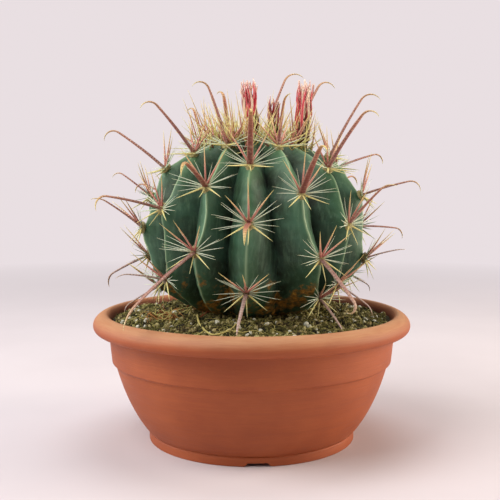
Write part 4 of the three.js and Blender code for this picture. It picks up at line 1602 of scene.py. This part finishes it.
@dataclass
class Soil:
    """Potting soil: a domed, crumbly top with perlite, moss strands and dry litter, filling the bowl."""

    bowl: Bowl
    edge: float = 93.0
    crown: float = 104.0
    gap: float = 0.35
    wall_radius: float = 110.2
    top_radius: float = 109.6
    strand_reach: float = 107.5
    crumb_reach: float = 107.0
    columns: int = 300
    top_rings: int = 96
    crumbs: int = 3400
    perlite: int = 170
    strands: int = 3600
    seed: int = 5

    def level(self, reach: Array | float) -> Array:
        """Height of the soil at a distance from the axis: a low dome."""
        share = np.asarray(reach) / self.bowl.band_radius
        return self.edge + (self.crown - self.edge) * (1 - share ** 2)

    def relief(self, points: Array) -> Array:
        """Unevenness of the top: broad swells with finer crumbs over them, millimetres high."""
        flat = points * (1, 1, 0)
        return 1.3 * waves(flat, 26, 11) + 0.7 * waves(flat, 8, 12) + 0.45 * waves(flat, 3.6, 13)

    def surface(self) -> Shell:
        """Underside, wall and top as rings: the inner shape of the bowl less a gap, then the dome.

        Returns:
            The closed shell.
        """
        b = self.bowl
        floor = b.foot_recess + b.wall + self.gap
        start = b.foot_radius - b.wall - self.gap
        wall = bezier([(start, floor), (start + b.belly_out, floor + b.belly_up),
                       (b.step_radius - b.wall - self.gap, b.step_height)], 12)
        rise = np.array([[b.band_radius - b.wall - self.gap, b.rim_base],
                         [self.wall_radius, float(self.level(110)) - 0.5]])
        bottom = np.stack([np.linspace(1, start, 8, endpoint=False), np.full(8, floor)], -1)
        side = resampled(np.concatenate([bottom, wall, rise]), 9)
        reach = self.top_radius * np.linspace(1, 0, self.top_rings, endpoint=False)
        top = np.stack([reach, self.level(reach)], -1)
        profile = np.concatenate([side, top])
        turn = np.arange(self.columns) * 360 / self.columns
        rings = outward(turn)[None] * profile[:, :1, None] + profile[:, 1:, None] * UP
        on_top = (np.arange(len(profile)) >= len(side))[:, None]
        rings[..., 2] += np.where(on_top, self.relief(rings), 0)
        tips = np.array([[[0, 0, floor], [0, 0, self.crown]]])
        # tint 0.12 keeps the body dark: the peat's own dark brown, and painted shade in the gaps between the
        # crumbs
        return capped_rings(rings[None], tips).painted(tint=0.12)

    def scattered(self, rng: np.random.Generator, count: int, inner: float = 40.0) -> Array:
        """Random places on the top, even by area, clear of the bowl's wall.

        Args:
            rng: the source of random numbers.
            count: number of places.
            inner: the smallest distance from the axis.

        Returns:
            The places, (count, 3).
        """
        reach = np.sqrt(rng.uniform(inner ** 2, self.crumb_reach ** 2, count))
        turn = rng.uniform(0, 360, count)
        points = outward(turn) * reach[:, None]
        points[:, 2] = self.level(reach) + self.relief(points)
        return points

    def strand_shell(self, rng: np.random.Generator, roots: Array, lengths: Array, half: float,
                     tint: Array, stand: float) -> Shell:
        """Curly strands that lie over the soil.

        Each one turns evenly as it goes, by a random amount, and rises and falls once.

        Args:
            rng: the source of random numbers.
            roots: (n, 3) where they start.
            lengths: their lengths.
            half: half thickness.
            tint: tone of each, 0 olive to 1 rust.
            stand: how high they rise as a share of their length.

        Returns:
            The shell of all of them.
        """
        count, steps = len(roots), 7
        share = np.linspace(0, 1, steps)[None]
        heading = rng.uniform(0, 360, (count, 1)) + rng.normal(0, 90, (count, 1)) * share
        moves = outward(heading) * (lengths[:, None] / steps)[..., None]
        paths = roots[:, None] + np.cumsum(moves, 1)
        hump = stand * lengths[:, None] * np.sin(np.pi * share) * rng.uniform(0.1, 1, (count, 1))
        reach = np.hypot(paths[..., 0], paths[..., 1])
        paths[..., :2] *= np.minimum(1, self.strand_reach / reach)[..., None]
        level = self.level(np.minimum(reach, self.strand_reach))
        paths[..., 2] = level + self.relief(paths) + half + hump
        width = np.broadcast_to(half * (1 - 0.6 * share), (count, steps))
        shell = tubes(paths, width, width, rng.normal(size=(count, 3)) * (1, 1, 0.2), 4)
        return shell.painted(tint=spread(np.repeat(tint[:, None], steps, 1), 4))

    def build(self) -> None:
        """Makes the soil body, its crumbs, the perlite, the moss strands and the litter."""
        rng = np.random.default_rng(self.seed)
        piece("peat_body", [(self.surface(), Peat())], ("potting_soil",))
        spots = self.scattered(rng, self.crumbs)
        sizes = rng.uniform(0.5, 1.6, (self.crumbs, 1)) ** 1.3 * rng.uniform(0.5, 1.3, (self.crumbs, 3))
        crumbs = lumps(spots + (0, 0, 0.3), sizes, 4, 7, rng, 0.45)
        tint = rng.uniform(0, 1, self.crumbs)
        piece("peat_crumbs", [(crumbs.painted(tint=np.repeat(tint, 4 * 7 + 2)), Peat())])
        spots = self.scattered(rng, self.perlite, 58.0)
        sizes = rng.uniform(0.7, 1.8, (self.perlite, 1)) ** 1.2 * rng.uniform(0.75, 1.1, (self.perlite, 3))
        grains = lumps(spots + (0, 0, 0.5), sizes, 5, 8, rng, 0.5)
        piece("perlite_grains", [(grains, Perlite())])
        spots = self.scattered(rng, self.strands)
        lengths = rng.uniform(3, 11, self.strands)
        moss = self.strand_shell(rng, spots, lengths, 0.25, rng.uniform(0, 0.7, self.strands), 0.2)
        piece("moss_strands", [(moss, DryFibre())])
        count = 60
        litter_turn = rng.normal(-64, 9, count)
        litter = outward(litter_turn) * rng.normal(70, 7, (count, 1))
        lengths = rng.uniform(9, 24, count)
        dry = self.strand_shell(rng, litter, lengths, 0.5, rng.uniform(0.55, 1, count), 0.3)
        piece("dry_litter", [(dry, DryFibre())])


@dataclass
class SurfaceRoot:
    """A thin root that crosses the soil at the front left, with two side roots."""

    soil: Soil
    radius: float = 0.8
    gap: float = 0.3
    route: tuple[tuple[float, float], ...] = ((-41, -38), (-37, -68), (-27, -92), (-15, -82), (-11, -66))
    branches: tuple[tuple[tuple[float, float], ...], ...] = (
        ((-33, -80), (-38, -90), (-47, -94), (-58, -88)), ((-15, -82), (-8, -88), (2, -84), (8, -90)),
    )

    def strand(self, route: tuple[tuple[float, float], ...], radius: float) -> Shell:
        """A tapering tube laid along the route on the soil's surface.

        Args:
            route: X and Y of the points that it passes.
            radius: its radius at the start.

        Returns:
            The shell.
        """
        lift = radius + 2 * self.gap
        spots = [(x, y, float(self.soil.level(math.hypot(x, y))) + lift) for x, y in route]
        path = smooth_path(spots, 60)
        path[:, 2] = np.maximum(path[:, 2], self.soil.level(np.hypot(path[:, 0], path[:, 1]))
                                + self.soil.relief(path) + radius * 0.6)
        share = np.linspace(0, 1, 60)
        half = (radius * (1 - 0.45 * share) * (1 + 0.12 * np.sin(share * 46)))[None]
        return tubes(path[None], half, half, UP[None], 10)

    def build(self) -> bpy.types.Object:
        """Makes the root and its side roots.

        Returns:
            The root.
        """
        strands = [self.strand(self.route, self.radius)]
        strands += [self.strand(branch, self.radius * 0.5) for branch in self.branches]
        whole = together(strands).painted(tint=0.68)
        return piece("thin_root", [(whole, DryFibre())], ("surface_root",))


# ---------------------------------------------------------------- studio

@dataclass(frozen=True)
class SoftBox:
    """One soft light: its place, size, power and colour, aimed at the plant."""

    name: str
    place: tuple[float, float, float]
    size: float
    power: float
    colour: str = "#ffffff"
    aim: tuple[float, float, float] = (0.0, 0.0, 0.13)

    def build(self) -> bpy.types.Object:
        """Makes the light and turns it to its aim.

        Returns:
            The light.
        """
        light = bpy.data.lights.new(self.name, "AREA")
        light.shape = "DISK"
        light.size = self.size
        light.energy = self.power
        light.color = linear(self.colour)[:3]
        made = bpy.data.objects.new(self.name, light)
        bpy.context.scene.collection.objects.link(made)
        made.location = self.place
        way = Vector(self.aim) - Vector(self.place)
        made.rotation_euler = way.to_track_quat("-Z", "Y").to_euler()
        return made


@dataclass
class Studio:
    """Floor, soft light and camera."""

    floor_size: float = 30.0
    lens: float = 60.48
    sensor: float = 36.0
    camera_place: tuple[float, float, float] = (-0.0012, -0.666, 0.204)
    pitch_down: float = 0.083
    surround: str = "#ece2e5"
    backdrop_light: float = 0.97
    fill_light: float = 0.2
    lights: tuple[SoftBox, ...] = (
        SoftBox("key_upper_left", (-0.95, -0.6, 1.4), 1.35, 28.0, "#fffaf4"),
        SoftBox("side_right", (1.3, 0.02, 0.5), 1.0, 21.0, "#fff0dc"),
        SoftBox("side_left", (-1.3, 0.1, 0.5), 1.0, 9.0),
        SoftBox("overhead", (0.1, 0.45, 1.6), 1.2, 12.0),
    )

    def build(self) -> None:
        """Makes the floor, world, lights and camera."""
        half = self.floor_size / 2
        corners = np.array([(-half, -half, 0), (half, -half, 0), (half, half, 0), (-half, half, 0)])
        mesh = bpy.data.meshes.new("studio_floor")
        mesh.from_pydata([tuple(c) for c in corners.tolist()], [], [(0, 1, 2, 3)])
        mesh.materials.append(StudioPaper().build())
        floor = bpy.data.objects.new("studio_floor", mesh)
        bpy.context.scene.collection.objects.link(floor)
        world = bpy.data.worlds.new("studio_surround")
        world.use_nodes = True
        add = partial(add_node, world.node_tree)
        seen = add(Node.SKY, self.surround, self.backdrop_light)
        fill = add(Node.SKY, self.surround, self.fill_light)
        world.node_tree.links.new(add(Node.MERGE, add(Node.RAY), fill, seen),
                                  world.node_tree.nodes["World Output"].inputs["Surface"])
        bpy.context.scene.world = world
        for light in self.lights:
            light.build()
        lens = bpy.data.cameras.new("camera")
        lens.sensor_width = self.sensor
        lens.lens = self.lens
        camera = bpy.data.objects.new("camera", lens)
        camera.location = self.camera_place
        camera.rotation_euler = (math.pi / 2 - self.pitch_down, 0, 0)
        bpy.context.scene.collection.objects.link(camera)
        bpy.context.scene.camera = camera
        bpy.context.scene.view_settings.view_transform = "Standard"


def main() -> None:
    """Builds the studio and every piece, in order."""
    logging.basicConfig(level=logging.INFO, format="%(name)s: %(message)s")
    Studio().build()
    bowl = Bowl()
    bowl.build()
    stem = Stem()
    stem.build()
    for number, row in enumerate(RIBS, 1):
        for place, areole in enumerate(row.areoles, 1):
            cluster = SpineCluster(stem, row, areole, seed=100 * number + place)
            cluster.build(f"spines_rib{number:02d}_areole{place}")
    CrownTuft(stem).build()
    blooms = (
        WitheredBloom("left_bloom", "withered_bloom_left", stem, 10, 14, 50, -7, 0.4, seed=21),
        WitheredBloom("middle_bloom", "withered_bloom_middle", stem, 72, 17, 37, 3, 0.2, strips=15,
                      radius=4.0, seed=22),
        WitheredBloom("right_bloom", "withered_bloom_right", stem, 76, 41, 54.5, 2, 0.36, radius=5.8,
                      seed=23),
    )
    for bloom in blooms:
        bloom.build()
    soil = Soil(bowl)
    soil.build()
    SurfaceRoot(soil).build()


if __name__ == "__main__":
    main()
